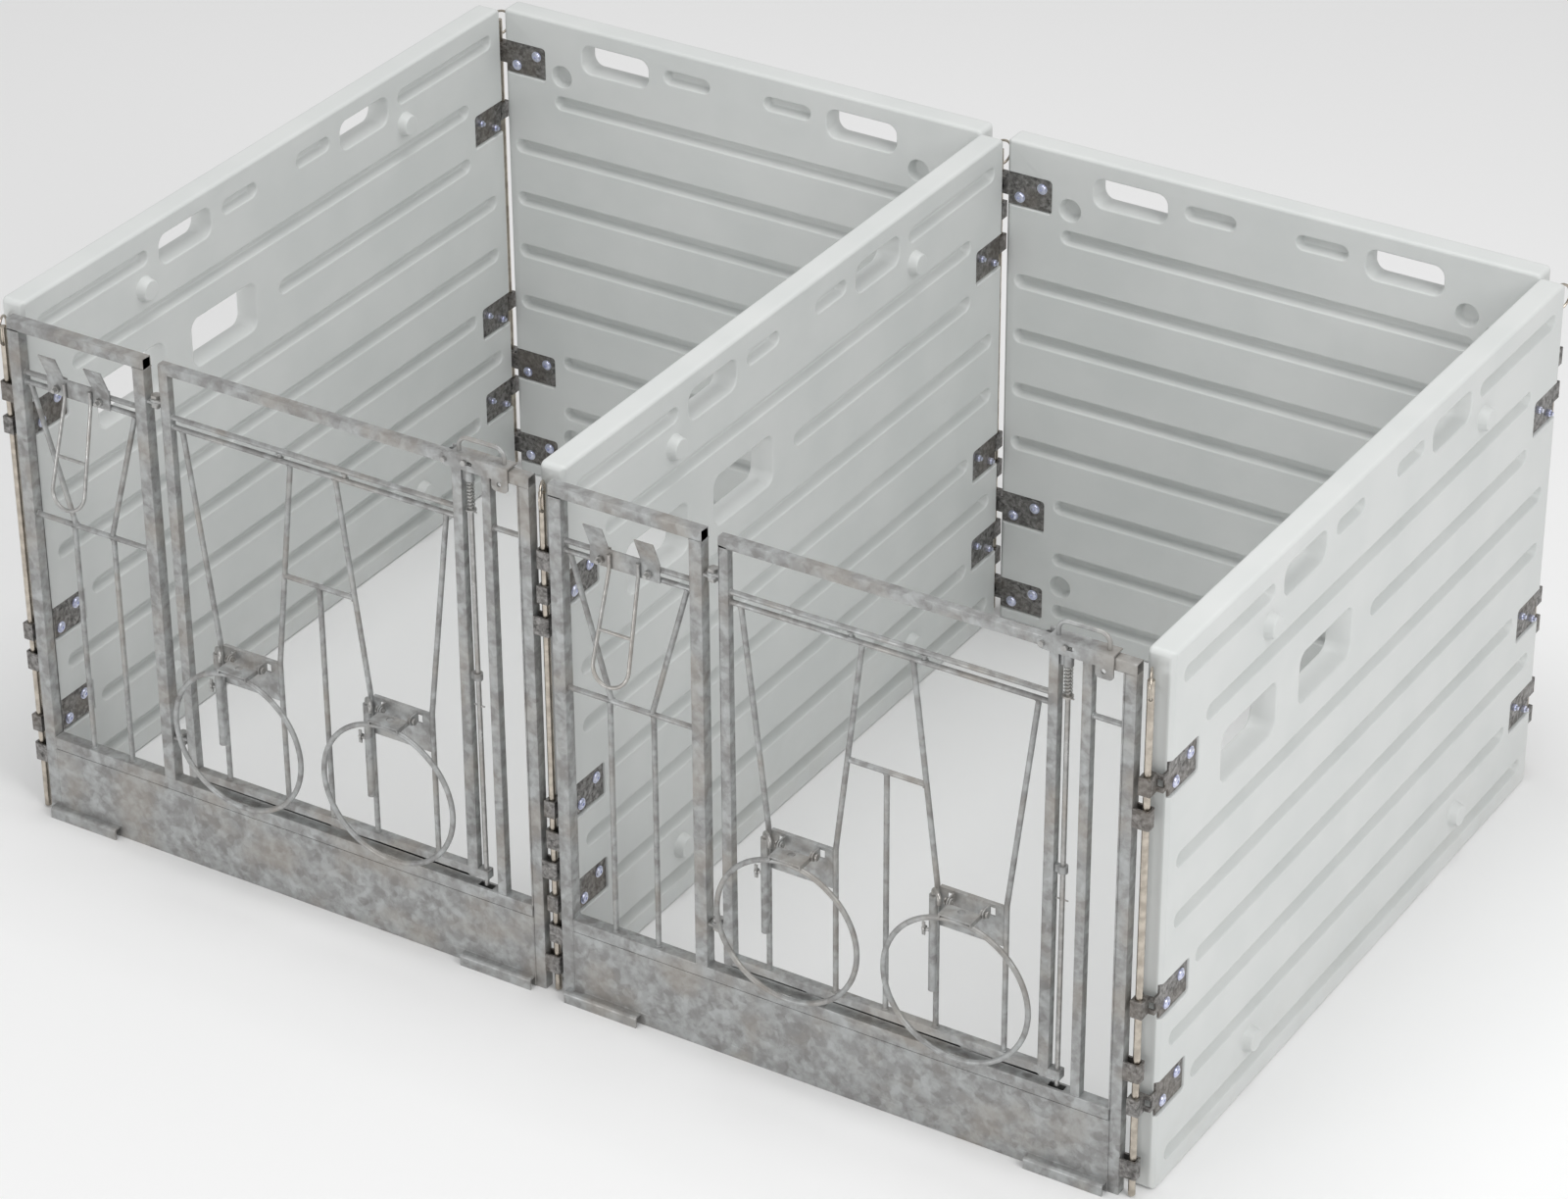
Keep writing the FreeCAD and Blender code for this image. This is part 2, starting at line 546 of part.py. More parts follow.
MID = -ROD_SETBACK
GATE_RIGHT = d.pen_pitch + d.gate_right_gap
SECTION_RIGHT = d.gate_left + d.fixed_section
RIGHT_POST = GATE_RIGHT - d.rail_width
INNER_POST = RIGHT_POST - d.inner_post_gap - d.slim_tube
RAIL_LOW = d.gate_height - d.rail_width
LOWER_TOP = d.lower_rail + d.post_width
LOWER_ROD = d.upper_rod - d.rod_spacing
DOOR_LEFT = SECTION_RIGHT + d.door_gap
DOOR_RIGHT = INNER_POST - d.door_end_gap
DOOR_TOP = d.gate_height - d.door_drop
DOOR_MID = (DOOR_LEFT + DOOR_RIGHT) / 2
OPENINGS = (DOOR_MID - d.opening_offset, DOOR_MID + d.opening_offset)
HINGE_X = SECTION_RIGHT + d.door_gap / 2
PIVOT = (DOOR_RIGHT - d.pivot_from_end, DOOR_TOP - d.slim_tube / 2)
LATCH_X = DOOR_RIGHT + d.latch_rod_gap


def tube(axis, start, length, across, tall, wall=None):
    """A rectangular tube centred on the gate's mid-plane, open at both ends."""
    wall = wall or d.tube_wall
    x, z = start
    if axis == "z":
        outer = Part.makeBox(across, tall, length, Vector(x, MID - tall / 2, z))
        inner = Part.makeBox(across - 2 * wall, tall - 2 * wall, length + 2,
                             Vector(x + wall, MID - tall / 2 + wall, z - 1))
    else:
        outer = Part.makeBox(length, across, tall, Vector(x, MID - across / 2, z))
        inner = Part.makeBox(length + 2, across - 2 * wall, tall - 2 * wall,
                             Vector(x - 1, MID - across / 2 + wall, z + wall))
    return only_solid(outer.cut(inner))


def gate_tubes():
    """The tubes of one gate's fixed frame, cut to length and butted."""
    left = d.gate_left + d.post_width
    inner_left, inner_tall = SECTION_RIGHT - d.post_width, RAIL_LOW - LOWER_TOP
    lower = tube("x", (left, d.lower_rail), RIGHT_POST - left, d.post_width, d.post_width)
    slot = Part.makeBox(d.rail_slot_length, d.rail_slot_width, d.tube_wall + 2,
                        Vector(LATCH_X - d.rail_slot_length / 2, MID - d.rail_slot_width / 2,
                               LOWER_TOP - d.tube_wall - 1))
    return [
        tube("z", (d.gate_left, 0), RAIL_LOW, d.post_width, d.post_width),
        tube("z", (inner_left, LOWER_TOP), inner_tall, d.post_width, d.post_width),
        tube("x", (d.gate_left, RAIL_LOW), d.fixed_section, d.rail_width, d.rail_width),
        tube("x", (left, 0), RIGHT_POST - left, d.post_width, d.post_width),
        only_solid(lower.cut(slot)),
        tube("z", (RIGHT_POST, 0), RAIL_LOW, d.rail_width, d.rail_width),
        tube("z", (INNER_POST, LOWER_TOP), inner_tall, d.slim_tube, d.slim_tube),
        tube("x", (INNER_POST, RAIL_LOW), GATE_RIGHT - INNER_POST, d.rail_width, d.rail_width),
    ]


def gate_bars():
    """Rod pair, V bars and lower bars of the fixed section, and the link between right posts."""
    left, right = d.gate_left + d.post_width, SECTION_RIGHT - d.post_width
    middle = (left + right) / 2
    rods = [straight_bar((left, MID, z), (right, MID, z), d.bar_diameter)
            for z in (d.upper_rod, LOWER_ROD, d.fixed_cross_rod)]
    rods.append(straight_bar((INNER_POST + d.slim_tube, MID, LOWER_ROD), (RIGHT_POST, MID, LOWER_ROD),
                             d.bar_diameter))
    for side in (-1, 1):
        rods.append(straight_bar((middle + side * d.fixed_v_spread, MID, LOWER_ROD),
                                 (middle + side * d.fixed_v_foot, MID, d.fixed_cross_rod), d.bar_diameter))
        foot = middle + side * d.fixed_bar_offset
        rods.append(straight_bar((foot, MID, LOWER_TOP), (foot, MID, d.fixed_cross_rod), d.bar_diameter))
    return trimmed(rods)


def door_tubes():
    """Stiles and rails of one feeding door."""
    high = DOOR_TOP - d.slim_tube
    top = tube("x", (DOOR_LEFT, high), DOOR_RIGHT - DOOR_LEFT, d.slim_tube, d.slim_tube)
    bore = Part.makeCylinder(d.pivot_diameter / 2, 2 * d.slim_tube,
                             Vector(PIVOT[0], MID - d.slim_tube, PIVOT[1]), Vector(0, 1, 0))
    return [
        only_solid(top.cut(bore)),
        tube("z", (DOOR_LEFT, d.door_bottom), high - d.door_bottom, d.slim_tube, d.slim_tube),
        tube("z", (DOOR_RIGHT - d.slim_tube, d.door_bottom), high - d.door_bottom, d.slim_tube, d.slim_tube),
        tube("x", (DOOR_LEFT + d.slim_tube, d.door_bottom), DOOR_RIGHT - DOOR_LEFT - 2 * d.slim_tube,
             d.slim_tube, d.slim_tube),
    ]


def door_bars():
    """Rod pair, spacer stubs, bent V bars of both head openings and the middle bar."""
    left, right = DOOR_LEFT + d.slim_tube, DOOR_RIGHT - d.slim_tube
    floor = d.door_bottom + d.slim_tube
    rods = [straight_bar((left, MID, z), (right, MID, z), d.bar_diameter) for z in (d.upper_rod, LOWER_ROD)]
    for side in (-1, 1):
        stub = DOOR_MID + side * (d.opening_offset - d.bar_half_gap - d.v_half_top / 4)
        rods.append(straight_bar((stub, MID, LOWER_ROD), (stub, MID, d.upper_rod), d.stub_diameter))
    for centre in OPENINGS:
        for side in (-1, 1):
            rods.append(bent_bar([(centre + side * d.v_half_top, MID, LOWER_ROD),
                                  (centre + side * d.bar_half_gap, MID, d.v_foot),
                                  (centre + side * d.bar_half_gap, MID, floor)], d.bar_diameter, d.v_bend))
    cross_z = d.door_cross_rod
    lean = (d.v_half_top - d.bar_half_gap) * (cross_z - d.v_foot) / (LOWER_ROD - d.v_foot)
    reach = d.bar_half_gap + lean
    rods.append(straight_bar((OPENINGS[0] + reach, MID, cross_z), (OPENINGS[1] - reach, MID, cross_z),
                             d.bar_diameter))
    rods.append(straight_bar((DOOR_MID, MID, floor), (DOOR_MID, MID, cross_z), d.bar_diameter))
    return trimmed(rods)


def knuckle(face_x, rod_x, height):
    """A squared U strap from a post's side face round a hinge rod."""
    inner = d.rod_diameter / 2 + d.rod_clearance
    low, side = height - d.gate_knuckle_height / 2, math.copysign(1, rod_x - face_x)

    def channel(half, low_z, tall, corner):
        end = rod_x + side * half
        box = Part.makeBox(abs(end - face_x), 2 * half, tall, Vector(min(face_x, end), MID - half, low_z))
        bends = [edge for edge in box.Edges if edge.BoundBox.ZLength > tall / 2
                 and abs(edge.BoundBox.XMin - end) < 0.01]
        return box.makeFillet(corner, bends)
    strap = channel(inner + d.knuckle_wall, low, d.gate_knuckle_height, d.knuckle_corner)
    hollow = channel(inner, low - 1, d.gate_knuckle_height + 2, d.knuckle_corner / 2)
    return only_solid(strap.cut(hollow))


LEFT_KNUCKLES = (892.0, 325.0, 126.0)
RIGHT_KNUCKLES = (759.5, 259.0, 59.0)


def foot(x):
    """An angle foot in front of the gate's lower tube, with a rounded front edge."""
    front = MID - d.post_width / 2 - d.foot_depth
    outer = Part.makeBox(d.foot_length, d.foot_depth, d.foot_height, Vector(x, front, 0))
    edges = [edge for edge in outer.Edges if edge.BoundBox.YMax < front + 0.01 and edge.BoundBox.ZMin > 1]
    outer = outer.makeFillet(d.foot_outer_bend, edges)
    inner = Part.makeBox(d.foot_length + 2, d.foot_depth, d.foot_height,
                         Vector(x - 1, front + d.foot_wall, -d.foot_wall))
    edges = [edge for edge in inner.Edges if edge.BoundBox.YMax < front + d.foot_wall + 0.01
             and edge.BoundBox.ZMin > 1]
    return only_solid(outer.cut(inner.makeFillet(d.foot_inner_bend, edges)))


def lug(face_x, axis_x, low):
    """A hinge lug plate from a tube's face to a round end about the hinge axis."""
    start, reach = min(face_x, axis_x), abs(face_x - axis_x)
    plate = Part.makeBox(reach, 2 * d.lug_neck_half, d.lug_thickness,
                         Vector(start, MID - d.lug_neck_half, low))
    plate = plate.fuse(Part.makeCylinder(d.lug_radius, d.lug_thickness, Vector(axis_x, MID, low)))
    bore = Part.makeCylinder(d.hinge_bolt / 2 + d.hinge_clearance, d.lug_thickness + 2,
                             Vector(axis_x, MID, low - 1))
    return only_solid(plate.cut(bore).removeSplitter())


def hinge_bolt_and_nut(low):
    """The upright bolt of one door hinge and its nut."""
    top = low + 2 * d.lug_thickness + d.lug_gap + d.hinge_clearance
    nut_low = low - d.hinge_head_height
    shank = Part.makeCylinder(d.hinge_bolt / 2, top - nut_low + d.bolt_end,
                              Vector(HINGE_X, MID, nut_low - d.bolt_end))
    head = hexagon(d.hinge_head_flats, d.hinge_head_height, (HINGE_X, MID, top), (0, 0, 1))
    nut = hexagon(d.hinge_head_flats, d.hinge_head_height, (HINGE_X, MID, nut_low), (0, 0, 1))
    return [only_solid(shank.fuse(head).removeSplitter()), only_solid(nut.cut(shank))]


def bottle_plate():
    """Folded plate on the rod pair, with two hooks that lean forward."""
    front = MID - d.bar_diameter / 2 - d.holder_sheet
    plate = Part.makeBox(d.holder_width, d.holder_sheet, d.holder_height,
                         Vector(d.holder_left, front, d.holder_bottom))
    top = d.holder_bottom + d.holder_height
    for left in (d.holder_left, d.holder_left + d.holder_width - d.hook_width):
        outline = Part.makePolygon([
            Vector(left, front, top), Vector(left, front + d.holder_sheet, top),
            Vector(left, front + d.holder_sheet - d.hook_lean, top + d.hook_rise),
            Vector(left, front - d.hook_lean, top + d.hook_rise), Vector(left, front, top)])
        plate = plate.fuse(Part.Face(outline).extrude(Vector(d.hook_width, 0, 0)))
    for x in clamp_spots():
        plate = plate.cut(clamp_bolt_hole(x))
    return only_solid(plate.removeSplitter())


def clamp_spots():
    """Where the two clamp bolts of a bottle holder pass between the rods."""
    return (d.holder_left + d.clamp_inset, d.holder_left + d.holder_width - d.clamp_inset)


def clamp_bolt_hole(x):
    """The clearance hole of a clamp bolt, through everything."""
    through = 2 * d.post_width
    return Part.makeCylinder(d.bolt_diameter / 2 + d.bolt_clearance / 2, through,
                             Vector(x, MID - through / 2, (d.upper_rod + LOWER_ROD) / 2), Vector(0, 1, 0))


def bottle_clamps():
    """Clamp plates behind the rod pair, and their bolts and nuts."""
    pieces, height = [], (d.upper_rod + LOWER_ROD) / 2
    front, rear = MID - d.bar_diameter / 2 - d.holder_sheet, MID + d.bar_diameter / 2
    for x in clamp_spots():
        plate = Part.makeBox(d.clamp_width, d.holder_sheet, d.holder_height,
                             Vector(x - d.clamp_width / 2, rear, height - d.holder_height / 2))
        pieces.append(only_solid(plate.cut(clamp_bolt_hole(x))))
        tip = front - d.clamp_bolt_tip
        shank = Part.makeCylinder(d.bolt_diameter / 2, rear + d.holder_sheet - tip, Vector(x, tip, height),
                                  Vector(0, 1, 0))
        head = hexagon(d.nut_across_flats, d.nut_height, (x, rear + d.holder_sheet, height), (0, 1, 0))
        nut = hexagon(d.nut_across_flats, d.nut_height, (x, front - d.nut_height, height), (0, 1, 0))
        pieces += [only_solid(shank.fuse(head).removeSplitter()), only_solid(nut.cut(shank))]
    return pieces


def bottle_cradle():
    """The U wire that carries the bottle, and its cross wire."""
    middle = d.holder_left + d.holder_width / 2
    face = MID - d.bar_diameter / 2 - d.holder_sheet - d.cradle_wire / 2
    low_y = face - d.cradle_lean
    side_points = [(d.cradle_top_half, face, d.holder_bottom + d.holder_height - d.cradle_wire),
                   (d.cradle_top_half, face, d.cradle_bend_z), (d.cradle_low_half, low_y, d.cradle_bottom)]
    path = [(middle - x, y, z) for x, y, z in side_points]
    path += [(middle + x, y, z) for x, y, z in side_points[::-1]]
    wire = bent_bar(path, d.cradle_wire, d.cradle_bend)
    share = (d.cradle_bend_z - d.cradle_cross_z) / (d.cradle_bend_z - d.cradle_bottom)
    cross_y = face - share * d.cradle_lean
    half = d.cradle_top_half + share * (d.cradle_low_half - d.cradle_top_half)
    cross = straight_bar((middle - half, cross_y, d.cradle_cross_z),
                         (middle + half, cross_y, d.cradle_cross_z), d.cradle_cross_wire)
    return trimmed([wire, cross])


# ---------------------------------------------------------------- latch

def latch_saddle():
    """The lever over the top rail: two cheeks, a top plate, a lock ear and a loop handle."""
    x, z = PIVOT
    low, high = z - d.saddle_drop, z + d.saddle_rise
    half = d.cheek_gap / 2
    front = Part.makeBox(d.saddle_reach, d.cheek_sheet, high - low,
                         Vector(x, MID - half - d.cheek_sheet, low))
    ear = Part.makeBox(d.ear_width, d.cheek_sheet, d.ear_drop,
                       Vector(x + d.saddle_reach - d.ear_width, MID - half - d.cheek_sheet, low - d.ear_drop))
    rounding = [edge for edge in ear.Edges if edge.BoundBox.ZMax < low - 1 and edge.BoundBox.YLength > 1
                and edge.BoundBox.XLength < 0.1]
    ear = ear.makeFillet(d.ear_corner, rounding)
    rear = Part.makeBox(d.rear_cheek_reach, d.cheek_sheet, high - low, Vector(x, MID + half, low))
    noses = [Part.makeCylinder(d.saddle_nose, d.cheek_sheet, Vector(x, y, z), Vector(0, 1, 0))
             for y in (MID - half - d.cheek_sheet, MID + half)]
    top = Part.makeBox(d.saddle_reach - d.saddle_nose, 2 * (half + d.cheek_sheet), d.cheek_sheet,
                       Vector(x + d.saddle_nose, MID - half - d.cheek_sheet, high - d.cheek_sheet))
    loop_left = x + d.loop_from_pivot
    loop = bent_bar([(loop_left, MID, high - 1), (loop_left, MID, high + d.loop_rise),
                     (loop_left + d.loop_width, MID, high + d.loop_rise),
                     (loop_left + d.loop_width, MID, high - 1)], d.loop_wire, d.loop_bend)
    saddle = front.fuse([ear, rear, top, loop] + noses)
    through = 2 * (half + d.cheek_sheet) + 2
    bore = Part.makeCylinder(d.pivot_diameter / 2 + d.pivot_clearance, through,
                             Vector(x, MID - through / 2, z), Vector(0, 1, 0))
    lock_x, lock_z = x + d.saddle_reach - d.lock_hole_inset, low - d.ear_drop / 3
    lock = Part.makeCylinder(d.lock_hole / 2, through, Vector(lock_x, MID - through / 2, lock_z),
                             Vector(0, 1, 0))
    slot_half = d.cross_bolt / 2 + d.slot_play
    slot_z, slot_left, slot_right = z + d.cross_bolt_rise, LATCH_X - d.slot_before, LATCH_X + d.slot_after
    slot = Part.makeBox(slot_right - slot_left - 2 * slot_half, through, 2 * slot_half,
                        Vector(slot_left + slot_half, MID - through / 2, slot_z - slot_half))
    ends = [Part.makeCylinder(slot_half, through, Vector(end, MID - through / 2, slot_z), Vector(0, 1, 0))
            for end in (slot_left + slot_half, slot_right - slot_half)]
    return only_solid(saddle.cut([bore, lock, slot] + ends).removeSplitter())


def latch_pivot():
    """The pin through the door's top rail that carries the saddle."""
    reach = d.cheek_gap / 2 + d.cheek_sheet + d.pivot_tail
    pin = Part.makeCylinder(d.pivot_diameter / 2, 2 * reach, Vector(PIVOT[0], MID - reach, PIVOT[1]),
                            Vector(0, 1, 0))
    head = Part.makeCylinder(d.pivot_head / 2, d.pivot_head_height,
                             Vector(PIVOT[0], MID + reach, PIVOT[1]), Vector(0, 1, 0))
    return only_solid(pin.fuse(head))


def latch_guides():
    """Three guides that hold the latch rod beside the door's right stile."""
    guides = []
    bore_radius = d.latch_rod / 2 + d.latch_clearance
    top = RAIL_LOW - d.guide_top_gap
    strap_y = MID - d.guide_diameter / 4
    for low, tall in ((top - d.guide_height, d.guide_height), (d.middle_guide, d.middle_guide_height)):
        barrel = Part.makeCylinder(d.guide_diameter / 2, tall, Vector(LATCH_X, MID, low))
        strap = Part.makeBox(d.latch_rod_gap, d.guide_diameter / 2, tall, Vector(DOOR_RIGHT, strap_y, low))
        bore = Part.makeCylinder(bore_radius, tall + 2, Vector(LATCH_X, MID, low - 1))
        guides.append(only_solid(barrel.fuse(strap).cut(bore).removeSplitter()))
    block_length = d.latch_rod_gap + d.guide_diameter / 2
    base = Part.makeBox(block_length, d.slim_tube, d.slim_tube,
                        Vector(DOOR_RIGHT, MID - d.slim_tube / 2, d.door_bottom))
    bore = Part.makeCylinder(bore_radius, d.slim_tube + 2, Vector(LATCH_X, MID, d.door_bottom - 1))
    guides.append(only_solid(base.cut(bore)))
    return guides


def spring_ends():
    """Height of the latch spring's foot, on the collar, and of its head, under the top guide."""
    head = RAIL_LOW - d.guide_top_gap - d.guide_height
    return head - d.spring_top_drop, head


def latch_rod_set():
    """The latch rod with its collar, two split pins and the cross bolt that the saddle lifts."""
    bottom, top = LOWER_TOP + d.latch_rod_foot, DOOR_TOP
    collar_low = spring_ends()[0] - d.collar_height
    bolt_reach = d.cheek_gap / 2 + d.cheek_sheet + d.slot_play
    bolt_z = PIVOT[1] + d.cross_bolt_rise
    bolt = Part.makeCylinder(d.cross_bolt / 2, 2 * bolt_reach + d.cross_bolt_head + d.cross_bolt_tail,
                             Vector(LATCH_X, MID - bolt_reach, bolt_z), Vector(0, 1, 0))
    caps = [hexagon(d.cross_bolt_flats, d.cross_bolt_head, (LATCH_X, y, bolt_z), (0, 1, 0))
            for y in (MID - bolt_reach - d.cross_bolt_head, MID + bolt_reach)]
    bolt = only_solid(bolt.fuse(caps).removeSplitter())
    pins = [Part.makeCylinder(d.pin_diameter / 2, d.pin_length,
                              Vector(LATCH_X - d.pin_length / 2, MID, z), Vector(1, 0, 0))
            for z in (collar_low - d.pin_diameter / 2, d.lower_pin)]
    collar = Part.makeCylinder(d.collar_diameter / 2, d.collar_height, Vector(LATCH_X, MID, collar_low))
    rod = Part.makeCylinder(d.latch_rod / 2, top - bottom, Vector(LATCH_X, MID, bottom))
    collar = collar.cut(rod)
    rod = rod.cut([bolt] + pins)
    return [only_solid(rod)], [bolt, only_solid(collar)] + pins


def latch_spring():
    """The coil spring between the collar and the top guide."""
    low, high = spring_ends()
    inset = d.spring_wire / 2 + d.spring_end_gap
    rise = high - low - 2 * inset
    radius = d.spring_diameter / 2
    path = Part.makeHelix(rise / d.spring_coils, rise, radius)
    section = Part.Wire(Part.makeCircle(d.spring_wire / 2, Vector(radius, 0, 0), Vector(0, 1, 0)))
    coil = Part.Wire(path.Edges).makePipeShell([section], True, True)
    coil.translate(Vector(LATCH_X, MID, low + inset))
    return [coil]


# ---------------------------------------------------------------- bucket rings

RING_PIVOT_Y = MID - d.ring_pivot_forward


def bucket_plate(centre):
    """The plate between two bars, with a folded top, two ears and the windows they leave."""
    half, sheet_wall = d.bar_half_gap - d.bar_diameter / 2, d.hanger_sheet
    top = d.bucket_plate_bottom + d.bucket_plate_height
    front = MID - sheet_wall / 2
    left_end = centre - half
    plate = Part.makeBox(2 * half, sheet_wall, d.bucket_plate_height,
                         Vector(left_end, front, d.bucket_plate_bottom))
    flange = Part.makeBox(2 * half, d.bucket_flange, sheet_wall, Vector(left_end, front, top - sheet_wall))
    pieces, holes = [flange], []
    for side in (-1, 1):
        inner = centre + side * (d.hanger_width / 2 + d.hanger_ear_gap)
        left = min(inner, inner + side * sheet_wall)
        neck = Part.makeBox(sheet_wall, front - RING_PIVOT_Y, 2 * d.ear_radius,
                            Vector(left, RING_PIVOT_Y, d.ring_pivot_height - d.ear_radius))
        pieces += [neck, Part.makeCylinder(d.ear_radius, sheet_wall,
                                           Vector(left, RING_PIVOT_Y, d.ring_pivot_height), Vector(1, 0, 0))]
        window_edge = inner + side * sheet_wall
        window_low = d.ring_pivot_height - d.ear_window_height / 2 - d.ear_window_drop
        holes.append(Part.makeBox(d.ear_window_width, 4 * sheet_wall, d.ear_window_height,
                                  Vector(min(window_edge, window_edge + side * d.ear_window_width),
                                         front - sheet_wall, window_low)))
        holes.append(Part.makeCylinder(d.ring_pin / 2, sheet_wall + 2,
                                       Vector(left - 1, RING_PIVOT_Y, d.ring_pivot_height), Vector(1, 0, 0)))
    return only_solid(plate.fuse(pieces).cut(holes).removeSplitter())


def ring_pins(centre):
    """The two pins that the ring's hanger turns on."""
    pins = []
    for side in (-1, 1):
        inner = centre + side * (d.hanger_width / 2 - d.hanger_sheet - d.ring_pin_inside)
        length = d.hanger_sheet * 2 + d.hanger_ear_gap + d.ring_pin_inside + d.ring_pin_outside
        start = Vector(inner, RING_PIVOT_Y, d.ring_pivot_height)
        pin = Part.makeCylinder(d.ring_pin / 2, length, start, Vector(side, 0, 0))
        head = Part.makeCylinder(d.ring_pin_head / 2, d.ring_pin_head_height,
                                 start + Vector(side * length, 0, 0), Vector(side, 0, 0))
        pins.append(only_solid(pin.fuse(head)))
    return pins


def bucket_ring(centre):
    """The round bar ring and the sheet hanger that it is welded under."""
    radius = (d.ring_outer - d.ring_bar) / 2
    ring_y = MID - d.ring_forward
    web_low = d.ring_pivot_height - d.hanger_drop
    ring_z = web_low - d.ring_outer / 2
    ring = Part.makeTorus(radius, d.ring_bar / 2, Vector(centre, ring_y, ring_z), Vector(0, 1, 0))
    half, wall = d.hanger_width / 2, d.hanger_sheet
    front = ring_y - d.web_front
    web = Part.makeBox(2 * half, RING_PIVOT_Y - d.ring_pin - front, wall,
                       Vector(centre - half, front, web_low))
    web = web.cut(Part.makeCylinder(d.web_hole / 2, 3 * wall,
                                    Vector(centre, (RING_PIVOT_Y + ring_y) / 2, web_low - wall)))
    cheeks = []
    for left in (centre - half, centre + half - wall):
        neck = Part.makeBox(wall, RING_PIVOT_Y - front, wall + d.hanger_skirt,
                            Vector(left, front, web_low - d.hanger_skirt))
        eye = Part.makeCylinder(d.ring_pin, wall, Vector(left, RING_PIVOT_Y, d.ring_pivot_height),
                                Vector(1, 0, 0))
        bore = Part.makeCylinder(d.ring_pin / 2 + d.ring_pin_clearance, wall + 2,
                                 Vector(left - 1, RING_PIVOT_Y, d.ring_pivot_height), Vector(1, 0, 0))
        cheeks.append(neck.fuse(eye).cut(bore))
    hanger = only_solid(web.fuse(cheeks).removeSplitter())
    return [ring] + trimmed([hanger], keep_out=[ring])


def keeper_x(centre):
    """The upright bar that carries a keeper tube, left of its opening."""
    return centre - d.bar_half_gap


def keeper_tube(centre):
    """The tube welded in front of a bar that guides the bent keeper rod."""
    y = MID - d.bar_diameter / 2 - d.keeper_tube / 2
    outer = Part.makeCylinder(d.keeper_tube / 2, d.keeper_tube_length,
                              Vector(keeper_x(centre), y, d.keeper_bottom))
    bore = Part.makeCylinder(d.keeper_rod / 2 + d.keeper_clearance, d.keeper_tube_length + 2,
                             Vector(keeper_x(centre), y, d.keeper_bottom - 1))
    return only_solid(outer.cut(bore))


def keeper_rod(centre):
    """The rod bent over at the top, towards the ring's left ear."""
    x, y = keeper_x(centre), MID - d.bar_diameter / 2 - d.keeper_tube / 2
    tip = (x + d.keeper_arm_x, y - d.keeper_arm_y)
    return bent_bar([(x, y, d.keeper_bottom + d.keeper_foot), (x, y, d.keeper_arm_height),
                     (*tip, d.keeper_arm_height), (*tip, d.keeper_arm_height - d.keeper_tip)],
                    d.keeper_rod, d.keeper_bend)


def wing_screw(centre):
    """The wing screw that clamps a keeper rod, on the left of its tube."""
    x = keeper_x(centre) - d.keeper_tube / 2 + d.screw_bite
    y = MID - d.bar_diameter / 2 - d.keeper_tube / 2
    shank = Part.makeCylinder(d.screw_diameter / 2, d.screw_length, Vector(x, y, d.screw_height),
                              Vector(-1, 0, 0))
    collar = Part.makeCylinder(d.screw_diameter, d.screw_diameter / 2,
                               Vector(x - d.screw_length / 2, y, d.screw_height), Vector(-1, 0, 0))
    wing_low = Vector(x - d.screw_length, y - d.screw_diameter / 4, d.screw_height - d.wing_span / 2)
    wing = Part.makeBox(d.screw_diameter, d.screw_diameter / 2, d.wing_span, wing_low)
    screw = only_solid(shank.fuse([collar, wing]).removeSplitter())
    return trimmed([screw], keep_out=[keeper_tube(centre)])[0]


# ---------------------------------------------------------------- assembly

def at_both_bays(solids):
    """The same solids in the left and in the right bay."""
    return [copy for bay in BAYS for copy in copies(Part.makeCompound(solids), [bay_place(bay)])[0].Solids]


